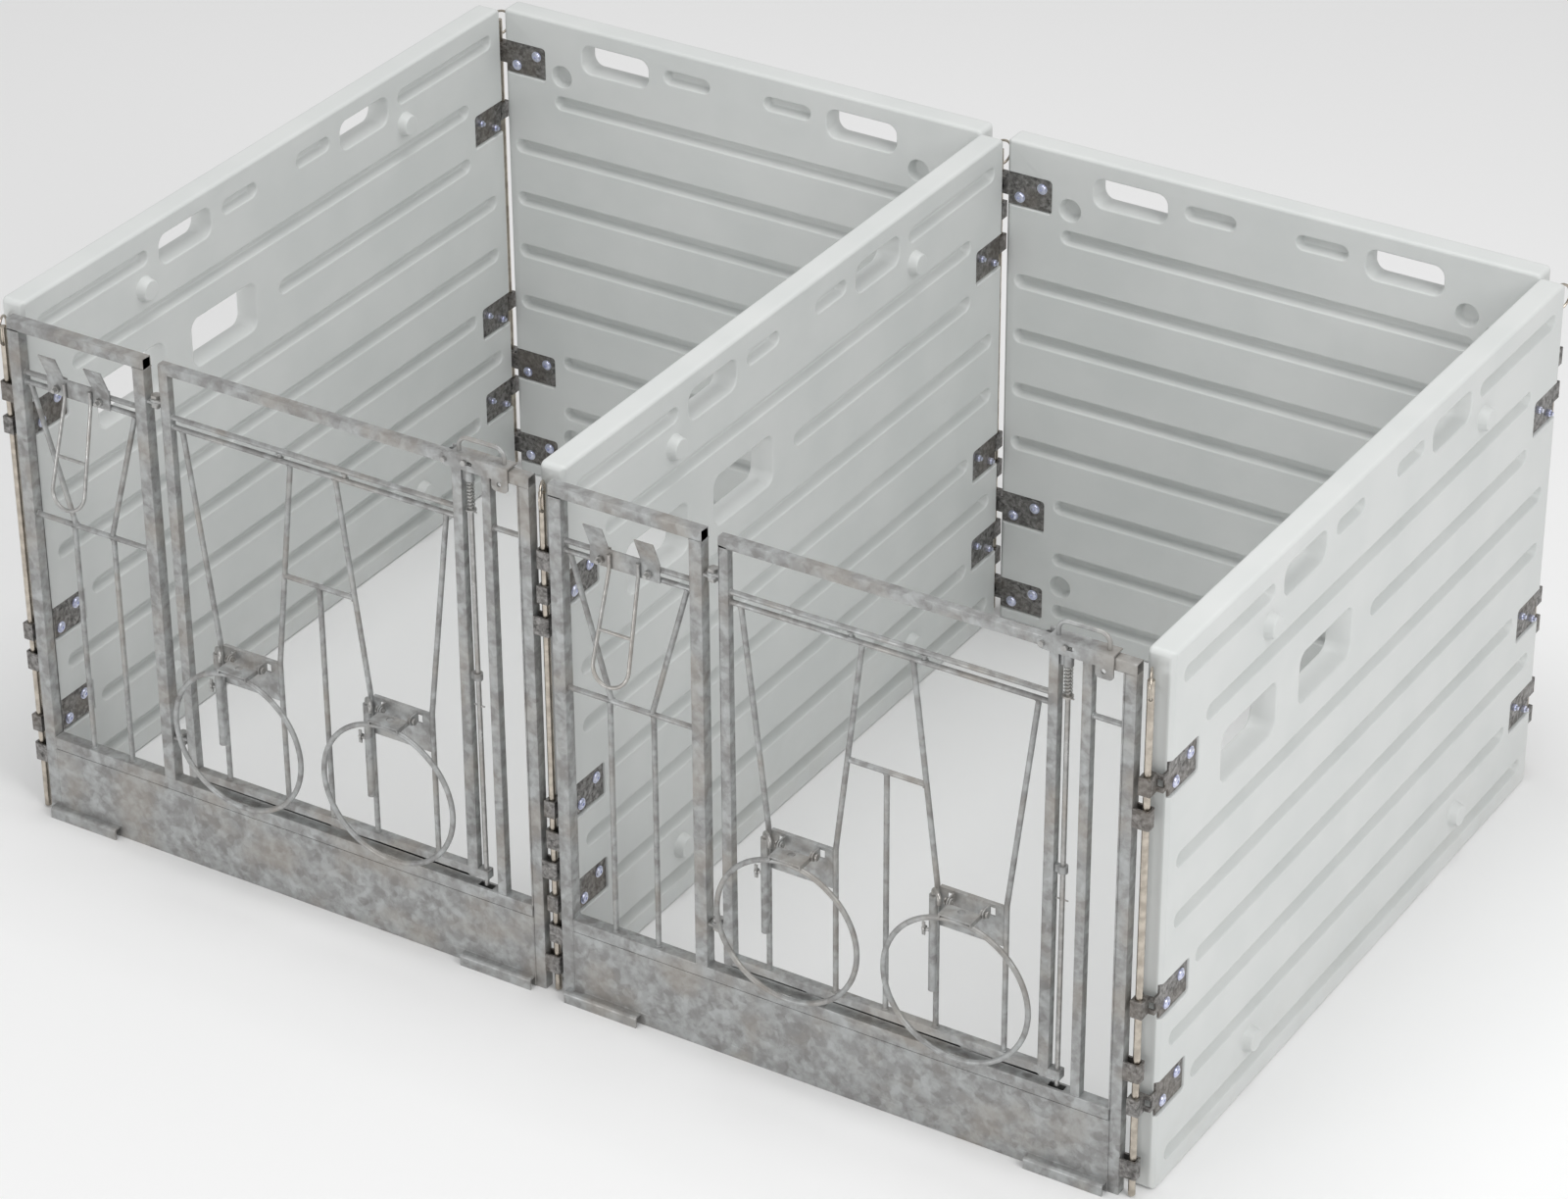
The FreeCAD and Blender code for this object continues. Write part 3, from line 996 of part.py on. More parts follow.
def build_gates():
    """Everything that hangs in the two front gates."""
    latch_rod, latch_fittings = latch_rod_set()
    tubes, bars, stiles, v_bars = gate_tubes(), gate_bars(), door_tubes(), door_bars()
    spring, saddle = latch_spring(), latch_saddle()
    high_lug = d.lug_thickness + d.lug_gap
    for bay in BAYS:
        name, place = BAY_NAMES[bay], bay_place(bay)
        solid_node("gate_%s_frame" % name, tubes, place)
        solid_node("gate_%s_bars" % name, bars, place)
        solid_node("door_%s_frame" % name, stiles, place)
        solid_node("door_%s_bars" % name, v_bars, place)
        solid_node("door_%s_hinge_lugs" % name,
                   [lug(DOOR_LEFT, HINGE_X, z + high_lug) for z in (d.hinge_low, d.hinge_high)], place)
        solid_node("door_%s_bucket_plates" % name, [bucket_plate(centre) for centre in OPENINGS], place)
        solid_node("door_%s_keeper_tubes" % name, [keeper_tube(centre) for centre in OPENINGS], place)
        solid_node("door_%s_pins_and_screws" % name,
                   [pin for centre in OPENINGS for pin in ring_pins(centre)]
                   + [wing_screw(centre) for centre in OPENINGS] + [latch_pivot()], place)
        solid_node("door_%s_latch_guides" % name, latch_guides(), place)
        solid_node("latch_%s_saddle" % name, [saddle], place)
        solid_node("latch_%s_rod" % name, latch_rod, place)
        solid_node("latch_%s_rod_fittings" % name, latch_fittings, place)
        solid_node("latch_%s_spring" % name, spring, place)
        for number, centre in enumerate(OPENINGS, start=1 + 2 * bay):
            solid_node("bucket_ring_%d" % number, bucket_ring(centre), place)
            solid_node("keeper_rod_%d" % number, [keeper_rod(centre)], place)

    kick = Part.makeBox(RIGHT_POST - d.gate_left - d.post_width, d.kick_sheet, d.lower_rail - d.post_width,
                        Vector(d.gate_left + d.post_width, MID - d.post_width / 2, d.post_width))
    solid_node("kick_plates", at_both_bays([kick]))
    solid_node("gate_feet", at_both_bays([foot(d.gate_left + d.foot_inset),
                                          foot(RIGHT_POST - d.foot_length)]))
    knuckles = [knuckle(d.gate_left, d.rod_inset, z) for z in LEFT_KNUCKLES]
    knuckles += [knuckle(GATE_RIGHT, d.pen_pitch + d.rod_inset, z) for z in RIGHT_KNUCKLES]
    solid_node("gate_knuckles", at_both_bays(knuckles))
    hinge_rows = (d.hinge_low, d.hinge_high)
    solid_node("fixed_hinge_lugs", at_both_bays([lug(SECTION_RIGHT, HINGE_X, z) for z in hinge_rows]))
    solid_node("door_hinge_bolts", at_both_bays([item for z in hinge_rows for item in hinge_bolt_and_nut(z)]))
    solid_node("bottle_plates", at_both_bays([bottle_plate()]))
    solid_node("bottle_cradles", at_both_bays(bottle_cradle()))
    solid_node("bottle_clamps", at_both_bays(bottle_clamps()))


def check_and_write():
    """Stops on a failed feature or a bad shape, then writes one file for each sub-part."""
    doc.recompute()
    for item in doc.Objects:
        if "Invalid" in item.State or "Error" in item.State:
            raise RuntimeError("%s failed: %s" % (item.Label, item.State))
    os.makedirs("parts", exist_ok=True)
    for item in NODES:
        shape = item.Shape
        if shape.isNull() or not shape.isValid() or not shape.Solids:
            raise RuntimeError("%s has no sound shape" % item.Label)
        shape.exportStep(os.path.join("parts", item.Label + ".step"))
    print("%d sub-parts, %d solids" % (len(NODES), sum(len(item.Shape.Solids) for item in NODES)))


build_panels()
build_brackets()
build_hinge_rods()
build_gates()
check_and_write()
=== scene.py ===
"""Looks of the twin calf pen: moulded plastic panels and galvanised gates on the fixed frame."""

import logging
import math
import random
from collections.abc import Callable, Iterable, Iterator
from dataclasses import dataclass, field
from enum import Enum

import bmesh
import bpy
from mathutils import Matrix, Vector


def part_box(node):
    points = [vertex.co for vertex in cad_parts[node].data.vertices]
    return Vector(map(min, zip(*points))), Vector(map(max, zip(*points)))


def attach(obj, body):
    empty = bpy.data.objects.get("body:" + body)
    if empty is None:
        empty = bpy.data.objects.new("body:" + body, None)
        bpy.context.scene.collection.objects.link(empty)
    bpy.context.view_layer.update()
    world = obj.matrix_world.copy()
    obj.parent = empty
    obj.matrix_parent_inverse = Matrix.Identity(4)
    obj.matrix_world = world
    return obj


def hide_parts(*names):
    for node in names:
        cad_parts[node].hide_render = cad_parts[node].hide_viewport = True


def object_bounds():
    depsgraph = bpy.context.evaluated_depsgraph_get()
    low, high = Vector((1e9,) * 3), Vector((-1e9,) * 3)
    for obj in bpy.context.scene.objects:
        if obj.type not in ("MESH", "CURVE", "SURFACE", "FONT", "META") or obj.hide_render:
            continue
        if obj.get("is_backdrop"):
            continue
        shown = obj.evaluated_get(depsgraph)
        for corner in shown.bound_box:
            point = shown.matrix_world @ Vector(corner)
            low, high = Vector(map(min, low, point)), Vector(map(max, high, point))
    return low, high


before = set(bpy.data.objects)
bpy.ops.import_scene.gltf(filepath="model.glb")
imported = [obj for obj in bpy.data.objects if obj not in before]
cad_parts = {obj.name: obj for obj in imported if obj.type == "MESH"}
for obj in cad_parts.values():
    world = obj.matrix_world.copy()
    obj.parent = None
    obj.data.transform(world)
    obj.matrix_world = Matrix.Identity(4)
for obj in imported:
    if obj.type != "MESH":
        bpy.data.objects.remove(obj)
CAD_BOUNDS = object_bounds()
MM = 0.001
MERGE = 1e-6
log = logging.getLogger("calf_pen")


# ---------------------------------------------------------------- shader helpers

class Graph:
    """Adds nodes to a node tree and joins them."""

    def __init__(self, tree: bpy.types.NodeTree) -> None:
        """Takes the tree to draw in."""
        self.tree = tree

    def add(self, kind: str, settings: dict | None = None, **inputs: object) -> bpy.types.Node:
        """Adds one node.

        Args:
            kind: Type of the node without its ShaderNode prefix.
            settings: Attributes to set on the node.
            inputs: Values or output sockets by input name, with _ for a space.

        Returns:
            The new node.
        """
        node = self.tree.nodes.new("ShaderNode" + kind)
        for name, value in (settings or {}).items():
            setattr(node, name, value)
        for name, value in inputs.items():
            self.put(node.inputs[name.replace("_", " ")], value)
        return node

    def put(self, socket: bpy.types.NodeSocket, value: object) -> None:
        """Links an output socket to an input, or sets its value.

        Args:
            socket: Input to feed.
            value: Output socket or plain value.
        """
        if isinstance(value, bpy.types.NodeSocket):
            self.tree.links.new(value, socket)
        else:
            socket.default_value = value

    def math(self, operation: str, first: object, second: object = 0.0) -> bpy.types.NodeSocket:
        """Puts one arithmetic step between two values.

        Args:
            operation: Blender's name of the step.
            first: First value or socket.
            second: Second value or socket.

        Returns:
            The step's output.
        """
        node = self.add("Math", {"operation": operation})
        self.put(node.inputs[0], first)
        self.put(node.inputs[1], second)
        return node.outputs[0]

    def blend(self, share: object, first: object, second: object) -> bpy.types.NodeSocket:
        """Mixes two colours.

        Args:
            share: Share of the second colour, from 0 to 1.
            first: Colour at share 0.
            second: Colour at share 1.

        Returns:
            The mixed colour's output.
        """
        node = self.add("Mix", {"data_type": "RGBA"})
        self.put(node.inputs[0], share)
        self.put(node.inputs[6], first)
        self.put(node.inputs[7], second)
        return node.outputs[2]

    def ramp(self, value: object, low: float, high: float) -> bpy.types.NodeSocket:
        """Stretches a value so that low becomes 0 and high becomes 1, kept within 0 and 1."""
        node = self.add("MapRange", {"clamp": True, "interpolation_type": "SMOOTHSTEP"},
                        Value=value, From_Min=low, From_Max=high)
        return node.outputs[0]


def new_group(name: str, inputs: dict[str, float],
              outputs: dict[str, str]) -> tuple[Graph, bpy.types.Node]:
    """Starts a shader node group.

    Args:
        name: Name of the group.
        inputs: Float inputs with their default values.
        outputs: Output names with their socket kinds.

    Returns:
        The group's graph and its input node.
    """
    tree = bpy.data.node_groups.new(name, "ShaderNodeTree")
    for label, value in inputs.items():
        socket = tree.interface.new_socket(label, in_out="INPUT", socket_type="NodeSocketFloat")
        socket.default_value = value
    for label, kind in outputs.items():
        tree.interface.new_socket(label, in_out="OUTPUT", socket_type="NodeSocket" + kind)
    return Graph(tree), tree.nodes.new("NodeGroupInput")


def close_group(graph: Graph, results: dict[str, bpy.types.NodeSocket]) -> bpy.types.NodeTree:
    """Joins the results to the group's output node.

    Args:
        graph: Graph of the group.
        results: Sockets by output name.

    Returns:
        The finished group.
    """
    end = graph.tree.nodes.new("NodeGroupOutput")
    for name, socket in results.items():
        graph.tree.links.new(socket, end.inputs[name])
    return graph.tree


def spangle_group() -> bpy.types.NodeTree:
    """Zinc spangle: crystal flakes, soft clouds and small pits, from Object coordinates.

    Returns:
        The shader group.
    """
    graph, given = new_group("zinc_spangle", {"Flake Size": 60.0, "Cloud Size": 28.0},
                             dict.fromkeys(("Flakes", "Clouds", "Warmth", "Height"), "Float"))
    where = graph.add("TexCoord").outputs["Object"]
    swirl = graph.add("TexNoise", Vector=where, Scale=given.outputs["Cloud Size"], Detail=3.0)
    bent = graph.add("VectorMath", {"operation": "MULTIPLY_ADD"})
    graph.put(bent.inputs[0], swirl.outputs["Color"])
    graph.put(bent.inputs[1], (0.012, 0.012, 0.012))
    graph.put(bent.inputs[2], where)
    flakes = graph.add("TexVoronoi", {"feature": "SMOOTH_F1"}, Vector=bent.outputs[0],
                       Scale=given.outputs["Flake Size"], Smoothness=0.35)
    shade = graph.add("SeparateColor", Color=flakes.outputs["Color"])
    clouds = graph.add("TexNoise", Vector=bent.outputs[0], Scale=given.outputs["Cloud Size"],
                       Detail=6.0, Roughness=0.62)
    drift = graph.add("TexNoise", Vector=where, Scale=9.0, Detail=3.0)
    pits = graph.add("TexNoise", Vector=where, Scale=420.0, Detail=3.0)
    height = graph.math("ADD", graph.math("MULTIPLY", shade.outputs[1], 0.6),
                        graph.math("MULTIPLY", pits.outputs["Fac"], 0.5))
    return close_group(graph, {"Flakes": shade.outputs[0],
                               "Clouds": graph.ramp(clouds.outputs["Fac"], 0.36, 0.66),
                               "Warmth": graph.ramp(drift.outputs["Fac"], 0.45, 0.68),
                               "Height": height})


def grain_group() -> bpy.types.NodeTree:
    """Moulded grain: a fine orange peel and a faint wide waviness, from Object coordinates.

    Returns:
        The shader group.
    """
    graph, given = new_group("moulded_grain", {"Grain": 900.0, "Waves": 7.0},
                             {"Tone": "Float", "Height": "Float"})
    where = graph.add("TexCoord").outputs["Object"]
    fine = graph.add("TexNoise", Vector=where, Scale=given.outputs["Grain"], Detail=2.0)
    wide = graph.add("TexNoise", Vector=where, Scale=given.outputs["Waves"], Detail=3.0)
    height = graph.math("ADD", graph.math("MULTIPLY", fine.outputs["Fac"], 0.12),
                        wide.outputs["Fac"])
    return close_group(graph, {"Tone": wide.outputs["Fac"], "Height": height})


def painted_floor_shade_group() -> bpy.types.NodeTree:
    """Painted shade that darkens the plastic towards the floor, in patches, from Object
    coordinates.

    Returns:
        The shader group.
    """
    graph, given = new_group("painted_floor_shade", {"Low Edge": 0.0, "High Edge": 0.35}, {"Mask": "Float"})
    where = graph.add("TexCoord").outputs["Object"]
    height = graph.add("SeparateXYZ", Vector=where).outputs["Z"]
    # painted shade near the floor: full at Low Edge, fading out by High Edge, broken into patches
    # by the noise below
    fall = graph.add("MapRange", {"clamp": True}, Value=height, From_Min=given.outputs["Low Edge"],
                     From_Max=given.outputs["High Edge"], To_Min=1.0, To_Max=0.0)
    patch = graph.add("TexNoise", Vector=where, Scale=16.0, Detail=5.0, Roughness=0.6)
    return close_group(graph, {"Mask": graph.math("MULTIPLY", fall.outputs[0],
                                                  graph.ramp(patch.outputs["Fac"], 0.4, 0.75))})


class Groups:
    """The shader groups that several finishes share, each built once."""

    spangle = spangle_group()
    grain = grain_group()
    # painted shade near the floor
    painted_shade = painted_floor_shade_group()


def start_material(name: str) -> tuple[bpy.types.Material, Graph, bpy.types.Node]:
    """Starts a material with nodes.

    Args:
        name: Name of the material.

    Returns:
        The material, its graph and its Principled shader.
    """
    material = bpy.data.materials.new(name)
    material.use_nodes = True
    graph = Graph(material.node_tree)
    return material, graph, material.node_tree.nodes["Principled BSDF"]


def place_group(graph: Graph, group: bpy.types.NodeTree, **inputs: float) -> bpy.types.Node:
    """Puts a shared group into a material.

    Args:
        graph: Graph of the material.
        group: Shared group.
        inputs: The group's values by input name, with _ for a space.

    Returns:
        The group's node.
    """
    node = graph.add("Group", {"node_tree": group})
    for name, value in inputs.items():
        node.inputs[name.replace("_", " ")].default_value = value
    return node


Colour = tuple[float, float, float, float]


@dataclass(frozen=True)
class PlasticFinish:
    """Satin polyethylene of a rotational moulding."""

    name: str
    slot: str
    colour: Colour
    shade: Colour
    roughness: float
    # colour of the painted shade near the floor
    painted_shade: Colour

    def material(self) -> bpy.types.Material:
        """Builds the plastic's material.

        Returns:
            The material.
        """
        material, graph, shader = start_material(self.name)
        grain = place_group(graph, Groups.grain, Grain=700.0, Waves=6.0)
        # painted shade near the floor: up to 12 % of a brownish dark in the lowest 0.22 m, in
        # patches
        painted_shade = place_group(graph, Groups.painted_shade, High_Edge=0.22)
        tone = graph.blend(graph.ramp(grain.outputs["Tone"], 0.3, 0.7), self.shade, self.colour)
        painted_shade_share = graph.math("MULTIPLY", painted_shade.outputs["Mask"], 0.12)
        graph.put(shader.inputs["Base Color"], graph.blend(painted_shade_share, tone, self.painted_shade))
        rough = graph.add("MapRange", Value=grain.outputs["Tone"], To_Min=self.roughness - 0.05,
                          To_Max=self.roughness + 0.05)
        graph.put(shader.inputs["Roughness"], rough.outputs[0])
        shader.inputs["Specular IOR Level"].default_value = 0.42
        bump = graph.add("Bump", Strength=0.16, Distance=0.0012, Height=grain.outputs["Height"])
        graph.put(shader.inputs["Normal"], bump.outputs[0])
        return material


@dataclass(frozen=True)
class ZincFinish:
    """Hot-dip galvanised steel with light flakes, dull clouds and brownish drifts."""

    name: str
    slot: str
    light: Colour
    dark: Colour
    brown: Colour
    flake_size: float
    cloud_size: float
    metallic: float
    roughness: float

    def material(self) -> bpy.types.Material:
        """Builds the zinc's material.

        Returns:
            The material.
        """
        material, graph, shader = start_material(self.name)
        spangle = place_group(graph, Groups.spangle, Flake_Size=self.flake_size,
                              Cloud_Size=self.cloud_size)
        share = graph.math("ADD", graph.math("MULTIPLY", spangle.outputs["Flakes"], 0.45),
                           graph.math("MULTIPLY", spangle.outputs["Clouds"], 0.55))
        tone = graph.blend(share, self.dark, self.light)
        warm = graph.math("MULTIPLY", spangle.outputs["Warmth"], 0.5)
        graph.put(shader.inputs["Base Color"], graph.blend(warm, tone, self.brown))
        rough = graph.add("MapRange", Value=share, To_Min=self.roughness + 0.12,
                          To_Max=self.roughness - 0.1)
        graph.put(shader.inputs["Roughness"], rough.outputs[0])
        shader.inputs["Metallic"].default_value = self.metallic
        bump = graph.add("Bump", Strength=0.3, Distance=0.0004, Height=spangle.outputs["Height"])
        graph.put(shader.inputs["Normal"], bump.outputs[0])
        return material


@dataclass(frozen=True)
class SteelFinish:
    """Bright drawn or plated steel with fine handling marks."""

    name: str
    slot: str
    colour: Colour
    tint: Colour
    roughness: float

    def material(self) -> bpy.types.Material:
        """Builds the steel's material.

        Returns:
            The material.
        """
        material, graph, shader = start_material(self.name)
        grain = place_group(graph, Groups.grain, Grain=1400.0, Waves=55.0)
        share = graph.ramp(grain.outputs["Tone"], 0.35, 0.65)
        graph.put(shader.inputs["Base Color"], graph.blend(share, self.colour, self.tint))
        rough = graph.add("MapRange", Value=grain.outputs["Tone"], To_Min=self.roughness - 0.08,
                          To_Max=self.roughness + 0.1)
        graph.put(shader.inputs["Roughness"], rough.outputs[0])
        shader.inputs["Metallic"].default_value = 1.0
        bump = graph.add("Bump", Strength=0.12, Distance=0.0003, Height=grain.outputs["Height"])
        graph.put(shader.inputs["Normal"], bump.outputs[0])
        return material


class Finish(Enum):
    """Every finish on the pen."""

    # the plastic's last colour is the painted shade near the floor
    PLASTIC = PlasticFinish("panel_polyethylene", "panel_plastic", (0.70, 0.715, 0.705, 1),
                            (0.66, 0.68, 0.67, 1), 0.45, (0.45, 0.41, 0.34, 1))
    ZINC = ZincFinish("gate_spangled_zinc", "gate_zinc", (0.46, 0.475, 0.475, 1),
                      (0.24, 0.235, 0.23, 1), (0.36, 0.325, 0.285, 1), 70.0, 34.0, 0.45, 0.46)
    DULL_ZINC = ZincFinish("bracket_dull_zinc", "bracket_zinc", (0.36, 0.35, 0.34, 1),
                           (0.07, 0.066, 0.062, 1), (0.18, 0.155, 0.13, 1), 150.0, 110.0, 0.6, 0.42)
    ROD_ZINC = ZincFinish("rod_smooth_zinc", "rod_zinc", (0.50, 0.50, 0.49, 1),
                          (0.33, 0.325, 0.315, 1), (0.38, 0.345, 0.305, 1), 140.0, 60.0, 0.7, 0.36)
    BRIGHT = SteelFinish("rod_bright_steel", "bright_steel", (0.60, 0.545, 0.47, 1),
                         (0.43, 0.385, 0.33, 1), 0.22)
    BLUE = SteelFinish("bolt_blue_zinc", "blue_zinc", (0.66, 0.69, 0.88, 1),
                       (0.78, 0.80, 0.93, 1), 0.3)
    SPRING = SteelFinish("spring_plated_steel", "spring_steel", (0.50, 0.50, 0.48, 1),
                         (0.35, 0.35, 0.34, 1), 0.3)


MATERIALS: dict[Finish, bpy.types.Material] = {finish: finish.value.material() for finish in Finish}


# ---------------------------------------------------------------- mesh helpers

def box_of(points: Iterable[Vector]) -> tuple[Vector, Vector]:
    """The lowest and highest corner of some points."""
    points = list(points)
    return (Vector([min(point[axis] for point in points) for axis in range(3)]),
            Vector([max(point[axis] for point in points) for axis in range(3)]))


def islands(mesh: bmesh.types.BMesh) -> Iterator[list[bmesh.types.BMVert]]:
    """Finds the separate shells of a mesh.

    Args:
        mesh: Mesh to look through.

    Returns:
        The vertices of each shell in turn.
    """
    left = set(mesh.verts)
    while left:
        start = left.pop()
        shell, front = [start], [start]
        while front:
            near = [edge.other_vert(vert) for vert in front for edge in vert.link_edges]
            front = [vert for vert in dict.fromkeys(near) if vert in left]
            left.difference_update(front)
            shell += front
        yield shell


def node_copy(node: str) -> bmesh.types.BMesh:
    """Copies a CAD node's mesh, merged and with its flat faces made whole.

    Args:
        node: Name of the CAD node.

    Returns:
        The copy.
    """
    mesh = bmesh.new()
    mesh.from_mesh(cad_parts[node].data)
    bmesh.ops.remove_doubles(mesh, verts=mesh.verts, dist=MERGE)
    bmesh.ops.dissolve_limit(mesh, angle_limit=math.radians(0.5), verts=mesh.verts,
                             edges=mesh.edges)
    return mesh


def finish_piece(mesh: bmesh.types.BMesh, name: str, body: str, finish: Finish,
                 replaced: Iterable[str] = (), smooth_angle: float = 38.0) -> bpy.types.Object:
    """Turns a mesh into a dressed piece that rides on its body.

    Args:
        mesh: The finished mesh, which is freed.
        name: Name of the piece.
        body: CAD body that the piece moves with.
        finish: Finish of the whole piece.
        replaced: CAD nodes that the piece stands for.
        smooth_angle: Edges sharper than this, in degrees, stay crisp.

    Returns:
        The new object.
    """
    for face in mesh.faces:
        face.smooth = True
    crisp = math.radians(smooth_angle)
    for edge in mesh.edges:
        edge.smooth = len(edge.link_faces) == 2 and edge.calc_face_angle(0.0) < crisp
    data = bpy.data.meshes.new(name)
    mesh.to_mesh(data)
    mesh.free()
    piece = bpy.data.objects.new(name, data)
    bpy.context.scene.collection.objects.link(piece)
    data.materials.append(MATERIALS[finish])
    weighted = piece.modifiers.new("even_shading", "WEIGHTED_NORMAL")
    weighted.keep_sharp = True
    weighted.weight = 90
    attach(piece, body)
    if replaced:
        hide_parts(*replaced)
    log.info("%s: %d faces", name, len(data.polygons))
    return piece


def add_tube_ring(mesh: bmesh.types.BMesh, centre: Vector, along: Vector, radius: float,
                  wire: float, steps: int = 14, sides: int = 6) -> list[bmesh.types.BMVert]:
    """Adds a ring of round wire by spinning a circle.

    Args:
        mesh: Mesh that takes the ring.
        centre: Middle of the ring.
        along: Direction of the ring's axis.
        radius: Radius of the ring.
        wire: Radius of the wire.
        steps: Steps round the ring.
        sides: Sides of the wire.

    Returns:
        The ring's vertices.
    """
    before = set(mesh.verts)
    upright = Matrix.Translation((radius, 0, 0)) @ Matrix.Rotation(math.pi / 2, 4, "X")
    section = bmesh.ops.create_circle(mesh, segments=sides, radius=wire, matrix=upright)
    edges = list({edge for vert in section["verts"] for edge in vert.link_edges})
    bmesh.ops.spin(mesh, geom=section["verts"] + edges, cent=(0, 0, 0), axis=(0, 0, 1),
                   angle=2 * math.pi, steps=steps, use_merge=True)
    ring = [vert for vert in mesh.verts if vert not in before]
    bmesh.ops.remove_doubles(mesh, verts=ring, dist=MERGE)
    ring = [vert for vert in mesh.verts if vert not in before]
    faces = list({face for vert in ring for face in vert.link_faces})
    bmesh.ops.recalc_face_normals(mesh, faces=faces)
    turn = Vector((0, 0, 1)).rotation_difference(along).to_matrix().to_4x4()
    bmesh.ops.transform(mesh, matrix=Matrix.Translation(centre) @ turn, verts=ring)
    return ring


def add_block(mesh: bmesh.types.BMesh, low: Vector, high: Vector, rounding: float,
              segments: int = 1) -> None:
    """Adds a box with its edges rounded.

    Args:
        mesh: Mesh that takes the box.
        low: Lowest corner.
        high: Highest corner.
        rounding: Width of the rounded edges.
        segments: Steps of each rounding.
    """
    verts = bmesh.ops.create_cube(mesh, size=1.0)["verts"]
    scale = Matrix.Diagonal((*(high - low), 1.0))
    bmesh.ops.transform(mesh, matrix=Matrix.Translation((low + high) / 2) @ scale, verts=verts)
    edges = list({edge for vert in verts for edge in vert.link_edges})
    bmesh.ops.bevel(mesh, geom=edges, offset=rounding, offset_type="OFFSET", segments=segments,
                    profile=0.5, affect="EDGES", clamp_overlap=True, material=-1)


# ---------------------------------------------------------------- plastic panels

Steps = tuple[tuple[float, float], ...]


def rounded_steps(lip: float, wall: tuple[float, float], foot: float, sink: float,
                  segments: int = 3) -> Steps:
    """Inset steps of a recess or a boss: round lip, sloping wall, round foot.

    Args:
        lip: Radius of the rounding at the panel's face.
        wall: Run and fall of the sloping wall.
        foot: Radius of the rounding at the floor.
        sink: -1 for a recess and 1 for a boss.
        segments: Steps of each rounding.

    Returns:
        Pairs of inset thickness and depth, without the empty ones.
    """
    quarter = [math.pi / 2 * i / segments for i in range(segments + 1)]
    lips = [(lip * (math.sin(b) - math.sin(a)), sink * lip * (math.cos(a) - math.cos(b)))
            for a, b in zip(quarter, quarter[1:])]
    feet = [(foot * (math.cos(a) - math.cos(b)), sink * foot * (math.sin(b) - math.sin(a)))
            for a, b in zip(quarter, quarter[1:])]
    return tuple(step for step in lips + [(wall[0], sink * wall[1])] + feet if any(step))


@dataclass
class Recess:
    """One shape sunk into, cut through or raised on a panel's face."""

    along: float
    height: float
    width: float
    tall: float
    corner: float
    steps: Steps
    through: bool = False
    segments: int = 6


@dataclass
class PanelSizes:
    """Driving sizes of the plastic panels, in metres."""

    thickness: float = 50 * MM
    edge: float = 7 * MM
    corner: float = 11 * MM
    bottom_row: float = 54.5 * MM
    row_pitch: float = 118.4 * MM
    groove: float = 35 * MM
    tab_width: float = 34 * MM
    tab_height: float = 5.5 * MM
    tab_drop: float = 0.5 * MM
    tab_depths: tuple[float, float] = (19.5 * MM, 2.6 * MM)
    tab_rounding: float = 2.2 * MM
    handle: tuple[float, float] = (164 * MM, 67 * MM)
    window: tuple[float, float] = (206 * MM, 108 * MM)
    opening_drop: float = 7 * MM
    opening_corner: float = 25 * MM
    boss: float = 50 * MM
    boss_heights: tuple[float, float] = (112 * MM, 942 * MM)
    pocket: tuple[float, float] = (98.5 * MM, 70 * MM)
    pocket_corner: float = 7 * MM
    pocket_lip: float = 3 * MM
    collar: float = 5 * MM
    chamfer: float = 8.5 * MM
    overrun: float = 20 * MM
    rim_steps: Steps = rounded_steps(0.0, (0.0, collar), edge, 1, 4)
    pocket_steps: Steps = (((0.0, -overrun),)
                           + rounded_steps(pocket_lip, (0.2 * MM, 4.6 * MM), 1.4 * MM, -1))
    groove_steps: Steps = rounded_steps(3.4 * MM, (5.4 * MM, 12.2 * MM), 3.6 * MM, -1)
    handle_steps: Steps = rounded_steps(3.5 * MM, (3.5 * MM, 21.5 * MM), 0.0, -1)
    window_steps: Steps = rounded_steps(4 * MM, (5 * MM, 21 * MM), 0.0, -1)
    boss_steps: Steps = rounded_steps(1.5 * MM, (3.5 * MM, 13.5 * MM), 2.5 * MM, 1)
    dimple_steps: Steps = rounded_steps(2 * MM, (4 * MM, 14 * MM), 4 * MM, -1)

    def row(self, number: int) -> float:
        """Height of a groove row's centre, counted from the lowest."""
        return self.bottom_row + number * self.row_pitch


